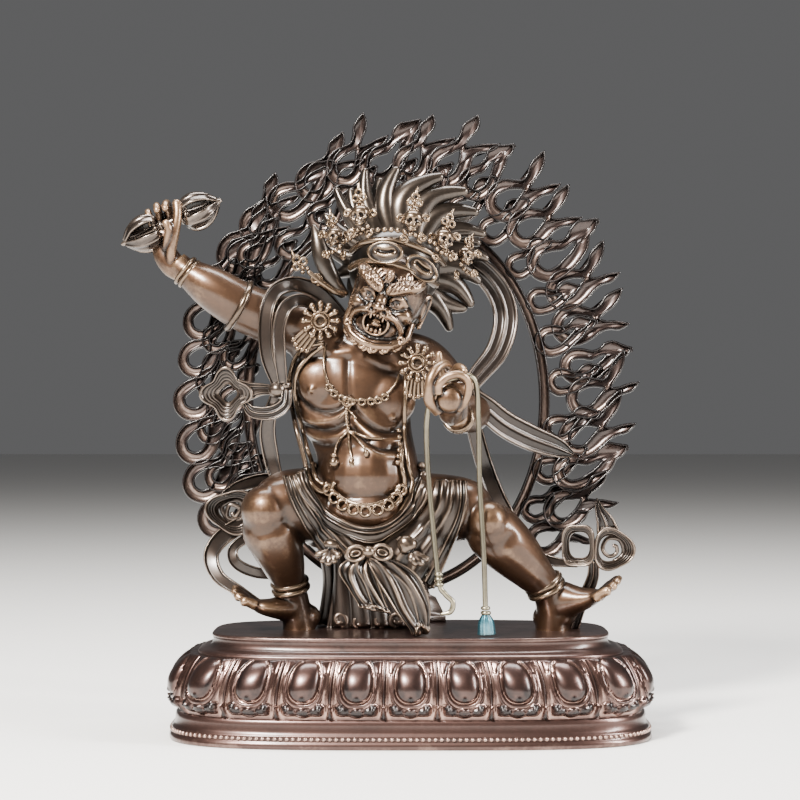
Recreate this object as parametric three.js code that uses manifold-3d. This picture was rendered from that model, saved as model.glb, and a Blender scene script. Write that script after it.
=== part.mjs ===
// A small copper casting: a wrathful guardian deity lunging to the viewer's right on a lotus plinth,
// with a ring of flames standing behind him and a wire lasso hanging from his lowered hand.
// Millimetres, +Z up. The viewer looks along +Y with +X to the right. The origin is under the plinth.
import * as THREE from 'three';
import { mergeVertices } from 'three/addons/utils/BufferGeometryUtils.js';
import Module from 'manifold-3d';

const wasm = await Module();
wasm.setup();

// Plinth: half width and half depth of its rim and of the platform, and its heights
const rimHalf = [41.4, 21.9];
const platformHalf = [34.1, 16.9];
const planPower = 3.6;
const beadHeight = 2.3;
const fasciaTop = 4.4;
const petalTop = 14.3;
const platformTop = 17.8;
const petalCount = 24;

// Aureole: ring centre, ring half sizes, band width, and the plane it stands in
const ringCentre = [-2.6, 57.9];
const ringHalf = [26.9, 34.1];
const ringBand = 2.2;
const ringPlane = 13.2;
const ringDepth = 1.8;
const footWidth = 18;
const flameDepth = 1.4;
const flameRows = [
  { arc: [-33, 205], count: 13, reach: [2.9, 3.6, 2.9], length: 8.8 },
  { arc: [140, 200], count: 4, reach: [7, 7, 7], length: 7.4 },
  { arc: [-38, 209], count: 24, reach: [7.6, 9.6, 10.6], length: 9.6, forked: true },
];

// Head: centre, half sizes, and how it leans, turns and nods in degrees
const headCentre = [-4.8, -6.0, 75.6];
const headHalf = [6.3, 6.4, 7.5];
const headLean = 15;
const headTurn = -20;
const headNod = 8;

// Thunderbolt sceptre in the raised hand
const sceptreCentre = [-41.4, -4.2, 88.5];
const sceptreHalfLength = 9.1;
const sceptreRise = 24;
const prongSpread = 2.7;

// Scarves and ornaments
const scarfWidth = 2.2;
const scarfThickness = 0.8;
const cordRadius = 0.9;
const festoonRadius = 1.1;
const rosetteRadius = 3.4;
const rosetteDepth = 1.8;

// Hair: a fan of locks behind the crown, with a few shorter ones behind it
const hairCentre = [-3, 82];
const hairReach = 16.8;
const hairFan = [156, -24];
const hairLocks = 10;

// Lasso wire, and the air left between its tassel and the platform
const lassoRadius = 0.45;
const lassoGap = 0.3;

const toRadians = THREE.MathUtils.degToRad;
const lerp = THREE.MathUtils.lerp;
const front = [0, -1, 0];

function toSolid(geometry) {
  geometry.deleteAttribute('normal');
  geometry.deleteAttribute('uv');
  const merged = mergeVertices(geometry, 1e-4);
  return new wasm.Manifold(new wasm.Mesh({
    numProp: 3,
    vertProperties: Float32Array.from(merged.attributes.position.array),
    triVerts: Uint32Array.from(merged.index.array),
  }));
}

function toGeometry(solid) {
  const mesh = solid.getMesh();
  const geometry = new THREE.BufferGeometry();
  geometry.setAttribute('position', new THREE.BufferAttribute(mesh.vertProperties, 3));
  geometry.setIndex(new THREE.BufferAttribute(mesh.triVerts, 1));
  geometry.computeVertexNormals();
  return geometry;
}

function join(solids) {
  return solids.reduce((whole, solid) => whole.add(solid));
}

function pose(centre, turn) {
  const [x, y, z] = turn.map(toRadians);
  return new THREE.Matrix4()
    .makeRotationFromEuler(new THREE.Euler(x, y, z, 'ZYX'))
    .setPosition(...centre);
}

function placed(solid, matrix) {
  return solid.transform(matrix.elements);
}

function mirrored(points, sign) {
  return points.map(([x, y, z]) => [x * sign, y, z]);
}

// Carries a cylinder's wall along a smooth curve through the points. Each radius is one number or
// a [width, depth] pair; the depth is measured towards `facing`.
function limb(points, radii, { sides = 4, steps = 4, facing = front } = {}) {
  const curve = new THREE.CatmullRomCurve3(points.map((point) => new THREE.Vector3(...point)));
  const geometry = new THREE.CylinderGeometry(1, 1, 1, sides, steps);
  const position = geometry.attributes.position;
  const reference = new THREE.Vector3(...facing);
  const pairs = radii.map((radius) => (Array.isArray(radius) ? radius : [radius, radius]));
  for (let i = 0; i < position.count; i += 1) {
    const t = THREE.MathUtils.clamp(position.getY(i) + 0.5, 0, 1);
    const place = t * (pairs.length - 1);
    const before = Math.min(Math.floor(place), pairs.length - 2);
    const width = lerp(pairs[before][0], pairs[before + 1][0], place - before);
    const depth = lerp(pairs[before][1], pairs[before + 1][1], place - before);
    const along = curve.getTangent(t);
    const side = new THREE.Vector3().crossVectors(along, reference).normalize();
    const out = new THREE.Vector3().crossVectors(side, along);
    const point = curve.getPoint(t)
      .addScaledVector(side, position.getX(i) * width)
      .addScaledVector(out, position.getZ(i) * depth);
    position.setXYZ(i, point.x, point.y, point.z);
  }
  return toSolid(geometry);
}

// An ellipsoid with its poles along Z, turned by `turn` degrees about X, Y and Z
function ball(centre, half, { turn = [0, 0, 0], around = 5, down = 4 } = {}) {
  const geometry = new THREE.SphereGeometry(1, around, down);
  geometry.rotateX(Math.PI / 2);
  geometry.scale(...(Array.isArray(half) ? half : [half, half, half]));
  geometry.applyMatrix4(pose([0, 0, 0], turn));
  geometry.translate(...centre);
  return toSolid(geometry);
}

// A ring whose hole looks along `axis`
function hoop(centre, axis, radius, thickness, { squash = 1, around = 7, sides = 3 } = {}) {
  const geometry = new THREE.TorusGeometry(radius, thickness, sides, around);
  geometry.scale(1, squash, 1);
  const towards = new THREE.Vector3(...axis).normalize();
  geometry.applyQuaternion(
    new THREE.Quaternion().setFromUnitVectors(new THREE.Vector3(0, 0, 1), towards),
  );
  geometry.translate(...centre);
  return toSolid(geometry);
}

// A band round a limb: a short sleeve with a swelling at its middle
function cuff([x, y, z], axis, radius) {
  const [u, v, w] = new THREE.Vector3(...axis).normalize().toArray();
  const halfLength = 1.1;
  const swelling = 0.7;
  return limb(
    [-halfLength, 0, halfLength].map((t) => [x + u * t, y + v * t, z + w * t]),
    [radius, radius + swelling, radius],
    { sides: 6, steps: 2 },
  );
}

// A lobed disc facing the viewer, as a rosette or the fluted mouth of a scarf end
function lobedDisc(centre, outer, inner, lobes, depth, hole = 0) {
  const shape = new THREE.Shape();
  for (let i = 0; i < lobes * 2; i += 1) {
    const radius = i % 2 ? inner : outer;
    const angle = (i * Math.PI) / lobes;
    const point = [radius * Math.cos(angle), radius * Math.sin(angle)];
    if (i === 0) shape.moveTo(...point);
    else shape.lineTo(...point);
  }
  if (hole > 0) shape.holes.push(new THREE.Path().absarc(0, 0, hole, 0, 2 * Math.PI, true));
  const geometry = new THREE.ExtrudeGeometry(shape, { depth, bevelEnabled: false, curveSegments: 6 });
  geometry.rotateX(Math.PI / 2);
  geometry.translate(centre[0], centre[1] + depth / 2, centre[2]);
  return toSolid(geometry);
}

// The plinth's plan: a rounded oblong, walked at an even pace
class Plan extends THREE.Curve {
  constructor(spread) {
    super();
    this.half = [0, 1].map((i) => lerp(platformHalf[i], rimHalf[i], spread));
  }

  getPoint(t) {
    const angle = 2 * Math.PI * t;
    const power = 2 / planPower;
    const round = (value) => Math.sign(value) * Math.abs(value) ** power;
    return new THREE.Vector3(
      this.half[0] * round(Math.cos(angle)),
      this.half[1] * round(Math.sin(angle)),
      0,
    );
  }
}

// Stacks rounded oblong outlines. Each level is [spread, height], where spread 0 is the platform's
// outline and spread 1 the rim's, and `bulge` adds to the spread from place to place.
function oblongStack(levels, around, bulge = () => 0) {
  const geometry = new THREE.CylinderGeometry(1, 1, 1, around, levels.length - 1);
  const position = geometry.attributes.position;
  const inner = new Plan(0);
  const outer = new Plan(1);
  for (let i = 0; i < position.count; i += 1) {
    const [spread, height] = levels[Math.round((position.getY(i) + 0.5) * (levels.length - 1))];
    const turn = Math.atan2(position.getX(i), position.getZ(i)) / (2 * Math.PI);
    const step = Math.round((turn + 1) * around) % around;
    const onAxis = Math.hypot(position.getX(i), position.getZ(i)) < 0.5;
    const swell = spread + bulge(step, height);
    const point = onAxis
      ? new THREE.Vector3()
      : inner.getPointAt(step / around).lerp(outer.getPointAt(step / around), swell);
    position.setXYZ(i, point.x, point.y, height);
  }
  return toSolid(geometry);
}

// The ring of lotus petals: four columns to a petal, rounded from crown to notch
function petalBelt() {
  const columns = 4;
  const crown = [-0.4, 0.02, 0.24, 0.02];
  const middle = (fasciaTop + petalTop) / 2;
  const tall = (petalTop - fasciaTop) / 2;
  const levels = [-1, -0.62, 0, 0.6, 1].map((t) => [lerp(0.86, 0.52, (t + 1) / 2), middle + t * tall]);
  return oblongStack(levels, petalCount * columns, (step, height) => {
    const t = (height - middle) / tall;
    return 0.1 * (1 - t * t) + crown[(step + columns / 2) % columns] * (1.05 - 0.85 * t * t);
  });
}

function lotusPlinth() {
  const rim = oblongStack([
    [0.95, 0], [1, 0.5], [1, beadHeight - 0.4], [0.88, 3], [0.86, fasciaTop + 0.3], [0.3, fasciaTop + 1],
  ], 32);
  const platform = oblongStack([
    [0.3, petalTop - 1.5], [0.24, petalTop + 0.4], [0, petalTop + 1.3], [0, platformTop],
  ], 32);
  return join([rim, petalBelt(), platform]);
}

// One flame: a root widens to a loop round a teardrop hole, then splits into wavy pointed tips.
// Outlines are shares of the flame's length, with the first axis along its tip.
function flame(x, z, direction, length, forked) {
  const back = [[-0.8, 0.04], [-0.26, 0.26], [0.12, 0.33], [0.46, 0.16], [0.74, 0.25], [1, 0.18]];
  const fork = forked ? [[0.54, 0.02], [0.88, -0.14], [0.5, -0.23]] : [[0.54, -0.04]];
  const belly = [[0.12, -0.34], [-0.3, -0.2]];
  const hole = [[-0.12, 0.01], [0.08, -0.13], [0.34, 0.03], [0.08, 0.14]];
  const [c, s] = [Math.cos(toRadians(direction)), Math.sin(toRadians(direction))];
  const placeAll = (points) => points.map(([u, v]) => new THREE.Vector2(
    x + length * (u * c - v * s), z + length * (u * s + v * c),
  ));
  const shape = new THREE.Shape(placeAll([...back, ...fork, ...belly]));
  shape.holes.push(new THREE.Path(placeAll(hole)));
  return uprightPlate(shape, flameDepth, ringPlane);
}

// Extrudes a shape drawn in X and Z to a plate standing across Y
function uprightPlate(shape, depth, plane) {
  const geometry = new THREE.ExtrudeGeometry(shape, { depth, bevelEnabled: false, curveSegments: 16 });
  geometry.rotateX(Math.PI / 2);
  geometry.translate(0, plane + depth / 2, 0);
  return toSolid(geometry);
}

// The flames are blown to the upper right: steeply on the left and top, flatter on the right
function flameDirection(angle) {
  return lerp(18, 60, THREE.MathUtils.smoothstep(angle, 10, 85));
}

function flameAureole() {
  const [x, z] = ringCentre;
  const [halfWide, halfTall] = ringHalf;
  const edge = ringBand / 2;
  const band = new THREE.Shape()
    .absellipse(x, z, halfWide + edge, halfTall + edge, 0, 2 * Math.PI, false, 0);
  band.holes.push(
    new THREE.Path().absellipse(x, z, halfWide - edge, halfTall - edge, 0, 2 * Math.PI, true, 0),
  );
  const footHeight = z - halfTall + edge / 2 - platformTop;
  const foot = new THREE.BoxGeometry(footWidth, ringDepth, footHeight);
  foot.translate(x, ringPlane, platformTop + footHeight / 2);
  const flames = [];
  for (const row of flameRows) {
    const [right, top, left] = row.reach;
    for (let i = 0; i < row.count; i += 1) {
      const angle = lerp(...row.arc, i / (row.count - 1));
      const [c, s] = [Math.cos(toRadians(angle)), Math.sin(toRadians(angle))];
      const reach = lerp(c > 0 ? right : left, top, Math.max(0, s) ** 2);
      const middle = [x + (halfWide + reach) * c, z + (halfTall + reach) * s];
      flames.push(flame(...middle, flameDirection(angle), row.length, row.forked));
    }
  }
  return join([uprightPlate(band, ringDepth, ringPlane), toSolid(foot), ...flames]);
}

function torso() {
  const trunk = limb(
    [[-7.6, 0, 35], [-7.5, -2, 40.5], [-7.4, -3, 46], [-8.4, -1.6, 51.5], [-9.4, -0.8, 56.5],
      [-9.6, -0.4, 61.5], [-8.8, -0.4, 66], [-7.2, -1.6, 69], [-6.2, -3, 72]],
    [[11, 7.5], [10.4, 7.8], [8.8, 7.6], [8.6, 6.4], [10, 6.4], [11.2, 6.6], [10, 5.2], [5.4, 4.6],
      [4.4, 4.2]],
    { sides: 9, steps: 6 },
  );
  const chest = [[-14.4, -5.6, 59.8], [-4.6, -6, 58.4]]
    .map((place) => ball(place, [5.2, 2.8, 4], { around: 6 }));
  const belly = ball([-7.6, -5.2, 45], [7.9, 7.4, 6.9], { around: 9, down: 6 });
  return join([trunk, ...chest, belly]);
}

// The head is worked face on about its own centre, then leaned, turned and nodded into place
function head() {
  const skull = ball([0, 0, 0], headHalf, { around: 9, down: 6 });
  const sides = [-1, 1].flatMap((sign) => [
    limb(mirrored([[0.7, -6.1, 1.9], [2.8, -6, 3.3], [5.2, -4.1, 3]], sign), [0.6, 1.1, 0.4], { steps: 2 }),
    ball([sign * 2.5, -5.2, 0.9], [1.5, 1.6, 1.2], { down: 3 }),
    limb(mirrored([[0.5, -6.6, -2], [2.6, -6.2, -2.5], [5, -4, -1.7]], sign), [0.5, 0.9, 0.3], { steps: 2 }),
  ]);
  const nose = ball([0, -6.4, -0.8], [1.7, 1.8, 1.4], { down: 3 });
  const eye = ball([0, -5.1, 3.9], [0.7, 1, 1.3], { around: 4, down: 3 });
  const mouth = hoop([0, -5.4, -3.9], [0, -1, 0.15], 1.9, 0.8, { squash: 0.75, around: 5 });
  const beard = [-1, 0, 1].map((i) => ball(
    [i * 2.2, -3.6 + 0.6 * i * i, -6.2 + 0.6 * i * i], [1.5, 1.7, 1.9], { down: 3 },
  ));
  const face = join([skull, ...sides, nose, eye, mouth, ...beard]);
  return placed(face, pose(headCentre, [headNod, headLean, headTurn]));
}

// Five small skulls on leafy mounts ride on a band above the brow, with two oval plaques below
function crown() {
  const pieces = [];
  for (let i = 0; i < 5; i += 1) {
    const angle = toRadians((i - 2) * 36 - 6);
    const [x, y] = [-1.2 + 11.2 * Math.sin(angle), -2.6 - 8.2 * Math.cos(angle)];
    const z = 84.6 + 4 * Math.cos(angle);
    const base = [-2 + 5 * Math.sin(angle), -2 - 3.6 * Math.cos(angle), 80];
    const leaf = [base, [x, y, z - 1.8], [x, y, z + 0.4], [x * 1.03, y, z + 4.6]];
    pieces.push(limb(leaf, [2, 1.5, 1.9, 0.3], { steps: 3 }));
  }
  const plaque = { around: 6, down: 3 };
  pieces.push(ball([-4.3, -10.8, 82.2], [2.9, 1.3, 1.8], { ...plaque, turn: [0, 10, -8] }));
  pieces.push(ball([1.9, -9.1, 79.8], [2.9, 1.3, 1.8], { ...plaque, turn: [0, 24, 10] }));
  const band = [[-11, -6, 80.5], [-5, -10, 82], [1, -8.6, 80.2], [4.6, -4, 79]];
  pieces.push(limb(band, [1.2, 1.6, 1.6, 1.2], { facing: [0, 0, 1], steps: 3 }));
  return join(pieces);
}

function hairLock(angle, reach, depth) {
  const at = (degrees, radius, y) => [
    hairCentre[0] + radius * Math.cos(toRadians(degrees)), y,
    hairCentre[1] + radius * Math.sin(toRadians(degrees)),
  ];
  return limb(
    [at(angle + 4, 4, depth - 1.5), at(angle - 3, reach * 0.5, depth - 1), at(angle + 1, reach * 0.78, depth),
      at(angle - 3, reach, depth + 0.5)],
    [2.1, 2.3, 1.5, 0.2],
    { steps: 3 },
  );
}

function hair() {
  const pieces = [ball([-2.8, -0.6, 80.5], [8.4, 6.6, 8.4], { around: 7, down: 5 })];
  const turnOf = (i) => lerp(...hairFan, i / (hairLocks - 1));
  for (let i = 0; i < hairLocks; i += 1) {
    pieces.push(hairLock(turnOf(i), hairReach, 0.5));
    if (i % 4 === 2) pieces.push(hairLock(turnOf(i + 0.5), hairReach * 0.86, 4));
  }
  return join(pieces);
}

// An ear ornament: a lobed rosette with a tassel hanging from it
function rosette([x, y, z], drop) {
  return join([
    lobedDisc([x, y, z], rosetteRadius, rosetteRadius * 0.72, 8, rosetteDepth),
    limb(
      [0, 0.5, 1].map((t) => [x + t * drop[0], y + t * drop[1], z + t * drop[2]]),
      [[0.9, 0.7], [1.4, 0.8], [0.7, 0.5]],
      { steps: 2 },
    ),
  ]);
}

function fingersAlong(paths) {
  return paths.map((path) => limb(path, path.map((_, i) => 0.85 - 0.12 * i), { steps: path.length - 1 }));
}

function raisedArm() {
  const arm = limb(
    [[-13, 0, 67], [-18.8, -1, 70.4], [-24.1, -2, 71.6], [-29.5, -3.5, 74], [-34.6, -4.5, 77.2],
      [-39.4, -4.5, 80.4], [-40.6, -4.5, 82]],
    [5.4, 5, 4.4, 4.1, 3.8, 2.2, 1.9],
    { sides: 6, steps: 4 },
  );
  const palm = limb([[-40.2, -4.5, 81], [-41.5, -4.3, 84.4], [-41.6, -4.4, 88.6]],
    [[1.9, 1.5], [2.4, 1.6], [2.2, 2]], { sides: 5, steps: 2 });
  const fingers = fingersAlong([
    [[-40, -5, 86.2], [-39.8, -6.8, 89.2], [-40.8, -6, 91.8]],
    [[-42.8, -3.2, 86.2], [-44.2, -3.6, 89], [-44.8, -4.2, 91.2]],
    [[-39.8, -5.4, 83.4], [-40.2, -7, 86.2], [-41.4, -7, 87.8]],
  ]);
  const armlet = cuff([-28.9, -3.3, 73.7], [-1, -0.3, 0.5], 4.6);
  const bracelet = cuff([-38.9, -4.5, 80.1], [-1, 0, 0.75], 2.8);
  return join([arm, palm, ...fingers, armlet, bracelet]);
}

// A grip between two bulbs, each of four curved prongs that close on a point
function sceptre() {
  const profile = [
    [0, -1], [0.8, -0.87], [prongSpread, -0.66], [prongSpread, -0.42], [1.1, -0.22], [1.1, 0.22],
    [prongSpread, 0.42], [prongSpread, 0.66], [0.8, 0.87], [0, 1],
  ].map(([radius, along]) => new THREE.Vector2(radius, along * sceptreHalfLength));
  const geometry = new THREE.LatheGeometry(profile, 8);
  const position = geometry.attributes.position;
  for (let i = 0; i < position.count; i += 1) {
    const angle = Math.atan2(position.getX(i), position.getZ(i));
    const ridge = Math.cos(4 * angle) < 0 ? 0.6 : 1;
    position.setX(i, position.getX(i) * ridge);
    position.setZ(i, position.getZ(i) * ridge);
  }
  geometry.rotateZ(-Math.PI / 2);
  return placed(toSolid(geometry), pose(sceptreCentre, [0, -sceptreRise, 0]));
}

function loweredArm() {
  const arm = limb(
    [[-3, 0.5, 65.5], [2.4, 0.5, 64], [7.3, 2.4, 59], [10.6, -0.6, 55.8], [8.4, -6.5, 54.4],
      [7.7, -9.2, 55.2]],
    [5, 4.7, 4, 3.5, 2.3, 2],
    { sides: 6, steps: 4, facing: [1, -0.2, 0.1] },
  );
  const palm = limb([[7.8, -8.6, 54.6], [6.8, -11.6, 58], [6.2, -12.6, 61.4]],
    [[2.1, 1.5], [3.1, 1.5], [2.9, 1.2]], { sides: 5, steps: 2 });
  const fingers = fingersAlong([
    [[4.2, -12.2, 60.4], [4, -14, 63.6], [4.6, -14, 68.1]],
    [[7, -12.2, 61], [7.9, -14.4, 63.2], [7.8, -14.6, 60]],
    [[5.2, -10.6, 57], [3.2, -12.6, 58.6], [3.8, -14.2, 61.2]],
  ]);
  const bracelet = cuff([8, -7.9, 54.5], [-0.2, -0.85, 0.3], 2.5);
  return join([arm, palm, ...fingers, bracelet]);
}

// A foot with its heel planted and its sole and toes lifted
function foot(heel, ballOfFoot, toes) {
  return limb([heel, ballOfFoot, toes], [[2.1, 2.1], [2.4, 1.5], [2.3, 0.7]],
    { sides: 5, steps: 3, facing: [0, 0, 1] });
}

function legs() {
  const shin = { sides: 6, steps: 5 };
  const thigh = { sides: 6, steps: 3 };
  return join([
    limb([[-9, 1, 38.5], [-18, -4, 40.2], [-24.4, -8, 41], [-28, -10.4, 39.6]], [7, 6.4, 5.4, 2.4], thigh),
    limb([[-25, -8.4, 41.6], [-24, -7.4, 35.6], [-22, -4.4, 30], [-20.8, -1.8, 25.4], [-19.6, -0.2, 20],
      [-19.2, 0, 17]], [4.4, 4.7, 3.6, 2.3, 2.3, 2.2], shin),
    foot([-19, 0, 20], [-25, -3, 21.2], [-30, -5.4, 24]),
    cuff([-20.9, -2, 25.6], [0.2, 0.4, -1], 2.8),
    limb([[-6, 1, 38], [4, -4, 38.6], [10.6, -7, 38.6], [14.4, -9.8, 37]], [7, 6.2, 5.2, 2.4], thigh),
    limb([[11, -7.6, 38.8], [15.4, -6.8, 33.6], [20, -4.2, 28.8], [23.4, -2.2, 25.4], [24.6, -0.8, 20.6],
      [24.6, -0.6, 17]], [4.4, 4.7, 3.5, 2.3, 2.3, 2.2], shin),
    foot([24.6, -0.6, 21.6], [30.4, -3, 23.2], [36, -5, 26.8]),
    cuff([23.1, -2.4, 25.7], [0.7, 0.3, -0.7], 2.8),
  ]);
}

// A length of cloth with a flat section, tapered by its widths
function cloth(points, widths, depth, steps = points.length - 1, sides = 4) {
  return limb(points, widths.map((width) => [width, depth]), { sides, steps });
}

// Cloth round the hips, laid in overlapping panels over the thighs under a rolled belt
function skirt() {
  return join([
    ball([-7.4, 0, 37.6], [13.5, 7.6, 6.6], { around: 8, down: 5 }),
    cloth([[-18.6, -3, 46], [-20, -6.6, 41.6], [-17.6, -9.4, 36.4], [-13.8, -9.6, 31]],
      [3.6, 5, 4.4, 2.4], 1.7),
    cloth([[-14, -7.4, 42], [-13.6, -10.2, 38], [-11.4, -10.8, 34.6], [-8.6, -11, 32.6]],
      [4, 4.6, 3.4, 1.4], 1.4),
    cloth([[1.5, -6, 43.6], [1.6, -9.4, 39], [-1.6, -10.8, 35], [-6, -11, 32.6]], [3, 4.2, 3.4, 1.4], 1.4),
    cloth([[5.4, -1.6, 43.6], [8.2, -6.8, 40.4], [7.6, -8.8, 35], [5.4, -8.4, 27.6]],
      [3.4, 4.4, 3.2, 0.8], 1.4),
    cloth([[-7.4, -9.8, 36.4], [-0.6, -8.6, 33], [3.4, -8.6, 30.4]], [2.4, 2.6, 1.4], 1.4),
    limb([[-18.6, -5.2, 43.4], [-14, -10.4, 38.8], [-7.6, -12.4, 36.4], [-1.2, -10.8, 38.6],
      [3.2, -6, 43.4]], [0.9, 1.2, 1.3, 1.2, 0.9], { steps: 6 }),
  ]);
}

// The sash hangs from its bow as two folded tails, and broad cloth drops behind to the platform
function sash() {
  return join([
    ball([-7.5, -12.2, 32], [1.3, 1.2, 1.1]),
    ball([-10.1, -12, 31.6], [2.3, 0.9, 1.8], { down: 3 }),
    ball([-4.9, -12, 31.8], [2.3, 0.9, 1.8], { down: 3 }),
    cloth([[-8, -12, 31.4], [-9, -12.6, 27.6], [-6.6, -12.4, 22]], [1.4, 3.3, 3], 1.1),
    cloth([[-6.6, -11.9, 31.2], [-3.4, -12.6, 26.4], [1.6, -11.4, 18.6]], [1.2, 3.4, 0.9], 1),
    cloth([[-7.4, 2, 36], [-8.4, 1.6, 27], [-8, 0.6, 16.5]], [7, 5.4, 6.4], 2.4, 3, 6),
    cloth([[-2, 2, 34], [2.6, 1.6, 24], [6.4, -0.6, 20.4]], [3, 2.6, 1.4], 1.4),
    cloth([[-12.6, 1.4, 34], [-15, 0.4, 25], [-14.6, -1, 16.5]], [2.6, 2, 2.2], 1.4),
  ]);
}

// Flat ribbons of cloth that blow out from the shoulders, elbow and hips, some with fluted ends
function scarves() {
  const ribbon = (points, width = scarfWidth) => cloth(
    points,
    points.map((_, i) => width * (i === 0 || i === points.length - 1 ? 0.7 : 1)),
    scarfThickness,
    Math.round(points.length * 0.8),
  );
  return join([
    ribbon([[3, 3, 80], [7, 3, 82.6], [11.8, 3.2, 81], [15.4, 3.5, 77], [16.6, 3, 72.2], [15.2, 1.4, 66.8],
      [12.2, -0.4, 62.6], [9.6, -2, 59]]),
    ribbon([[9.8, -2, 59.4], [13, -1.4, 56.4], [17, 0, 53], [21.6, 2, 51], [26.4, 4, 49.6]]),
    ribbon([[10.2, -2, 59.4], [11.4, 0.4, 52.6], [13.4, 2, 46], [15, 0.6, 40.6], [16, -2, 35.4]]),
    ribbon([[-14, 0, 73], [-18.4, -1.6, 76.2], [-22.6, -4.6, 76.4], [-25, -6, 72.4], [-25.6, -6.4, 67],
      [-24.8, -6, 61.6], [-25.4, -5, 58]], 1.9),
    ribbon([[-16, -3, 74], [-19.6, -6, 74.6], [-21.8, -7.2, 70.8], [-21.4, -7, 65], [-22.6, -6, 59]], 1.6),
    ball([-25.4, -5, 58.6], [1.9, 1.6, 1.7]),
    limb([[-25.4, -5, 58.8], [-28.6, -5.4, 58.8], [-31.6, -6, 58.6]], [1.2, 1.6, 3],
      { sides: 5, steps: 2, facing: [0, 0, 1] }),
    lobedDisc([-32.2, -6.6, 58.6], 4.6, 3.2, 4, 1.8, 1.5),
    ribbon([[-25.2, -4.6, 58.4], [-25.4, -3.6, 53], [-24.4, -3, 47.4], [-22.4, -3.4, 43.6]], 1.5),
    hoop([-31.6, 0.6, 38.8], [0.1, -1, 0.1], 3.6, 0.9, { squash: 0.9, around: 8 }),
    ribbon([[-16, 3, 41], [-22, 3.4, 45], [-28, 2.6, 44.6], [-32, 1.4, 42.4]], 1.8),
    ribbon([[-32.6, 0.8, 41.6], [-32.4, 0.6, 38.4], [-30.6, 0.4, 38.2]], 0.9),
    ribbon([[-17, 3.4, 37], [-25, 3, 37.4], [-31.6, 2, 34.9], [-35, 0.4, 31.4], [-33.4, -1.6, 27.4],
      [-28.4, -3, 23.8], [-24.4, -2.6, 21.4]], 1.6),
    ribbon([[4, 1, 38], [14, 3, 34.4], [24, 2, 29.6], [29.6, -0.8, 29]], 1.5),
    hoop([29.6, -1.4, 32], [-0.15, -1, 0.1], 3, 0.9, { around: 8 }),
    hoop([35.2, -2.2, 31.8], [0.15, -1, 0.1], 3.3, 0.9, { around: 8 }),
    limb([[37.6, -2.2, 30.6], [34.6, -2.2, 30.8], [35.4, -2.2, 33]], [0.9, 0.8, 0.4], { steps: 3 }),
    limb([[30.6, -1.4, 34.8], [33, -1.6, 36.4], [33, -1.2, 40]], [[1.6, 0.8], [1.6, 0.8], [0.2, 0.3]],
      { steps: 3 }),
    limb([[31.8, -1.8, 29.6], [31.4, -0.6, 26.2], [29, 0.8, 21.6], [27.6, 1, 17]], [0.8, 0.9, 1, 1.2],
      { steps: 3 }),
  ]);
}

// Strings of ornaments laid over the chest and belly
function jewellery() {
  const cord = (points, radius = cordRadius) => limb(
    points, points.map(() => radius), { sides: 3, steps: points.length },
  );
  const festoon = [];
  for (let i = 0; i < 7; i += 1) {
    const angle = toRadians(lerp(205, 335, i / 6));
    festoon.push([-7.6 + 7.4 * Math.cos(angle), -5.6 + 5.2 * Math.sin(angle), 44.4 + 6 * Math.sin(angle)]);
  }
  return join([
    cord([[-14, -5.4, 68], [-18.6, -5, 63.6], [-19.6, -4.6, 57.6], [-17.8, -5, 51.6], [-16.2, -6, 46],
      [-15, -8, 42.4], [-12.8, -9.6, 43.4], [-12.4, -10, 46.4]]),
    cord([[0.4, -4, 62], [0.8, -4.4, 57], [-0.8, -5.6, 51.6], [0.2, -7, 46.6], [-1, -9.8, 40.6],
      [-6.6, -11.6, 33]]),
    cord([[-13.4, -5.6, 67], [-14.6, -7.6, 62], [-10.8, -8.2, 58.2], [-7.4, -7.8, 57.6], [-2.6, -8.2, 59.4],
      [-0.4, -5.4, 63.4]]),
    cord(festoon, festoonRadius),
  ]);
}

// Everything that is one casting with the deity, cut flat where it stands on the platform
function figure() {
  const casting = join([
    torso(), head(), crown(), hair(), raisedArm(), sceptre(), loweredArm(), legs(), skirt(), sash(),
    scarves(), jewellery(),
    rosette([-15.2, -6.4, 71], [-3, 1.6, -4.4]),
    rosette([2.6, -6, 64.2], [-0.6, 1, -4.8]),
  ]);
  const below = new THREE.BoxGeometry(140, 80, 40);
  below.translate(0, 0, platformTop - 20);
  return casting.subtract(toSolid(below));
}

// The lasso is a bright wire: a hook at one end, a bend over the lowered hand, a tassel at the other
function lasso() {
  const hook = [[5, -13.8, 21.6], [6.7, -13.8, 22], [7.1, -13.8, 23.6], [5.8, -13.8, 25], [4.8, -13.8, 27]];
  const rise = [[3.8, -14, 36], [2.8, -14.4, 48], [2.9, -15.2, 55.6]];
  const overHand = [[4.8, -16.4, 59.8], [8.2, -16.8, 61.4], [10.8, -16.2, 60.6]];
  const fall = [[11.4, -15, 54], [11.6, -14.2, 44], [12.3, -13.8, 32], [12.6, -13.6, 22.4]];
  const tassel = [[12.7, -13.5, 20.6], [12.8, -13.4, platformTop + lassoGap]];
  const wire = [...hook, ...rise, ...overHand, ...fall];
  const radii = [...wire.map(() => lassoRadius), [1.1, 0.8], [1.4, 0.9]];
  return limb([...wire, ...tassel], radii, { sides: 5, steps: 36, facing: [0, -1, 0.2] });
}

function piece(name, solid, color, roughness, metalness) {
  const mesh = new THREE.Mesh(
    toGeometry(solid),
    new THREE.MeshStandardMaterial({ color, roughness, metalness }),
  );
  mesh.name = name;
  return mesh;
}

const statue = new THREE.Group();
statue.name = 'guardian_deity_on_lotus_plinth';
statue.add(
  piece('lotus_plinth', lotusPlinth(), 0x5a3a30, 0.4, 0.9),
  piece('figure', figure(), 0x6b4a35, 0.35, 0.9),
  piece('flame_aureole', flameAureole(), 0x4d3632, 0.45, 0.9),
  piece('lasso', lasso(), 0x7d8288, 0.35, 0.9),
);

export default statue;
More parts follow.
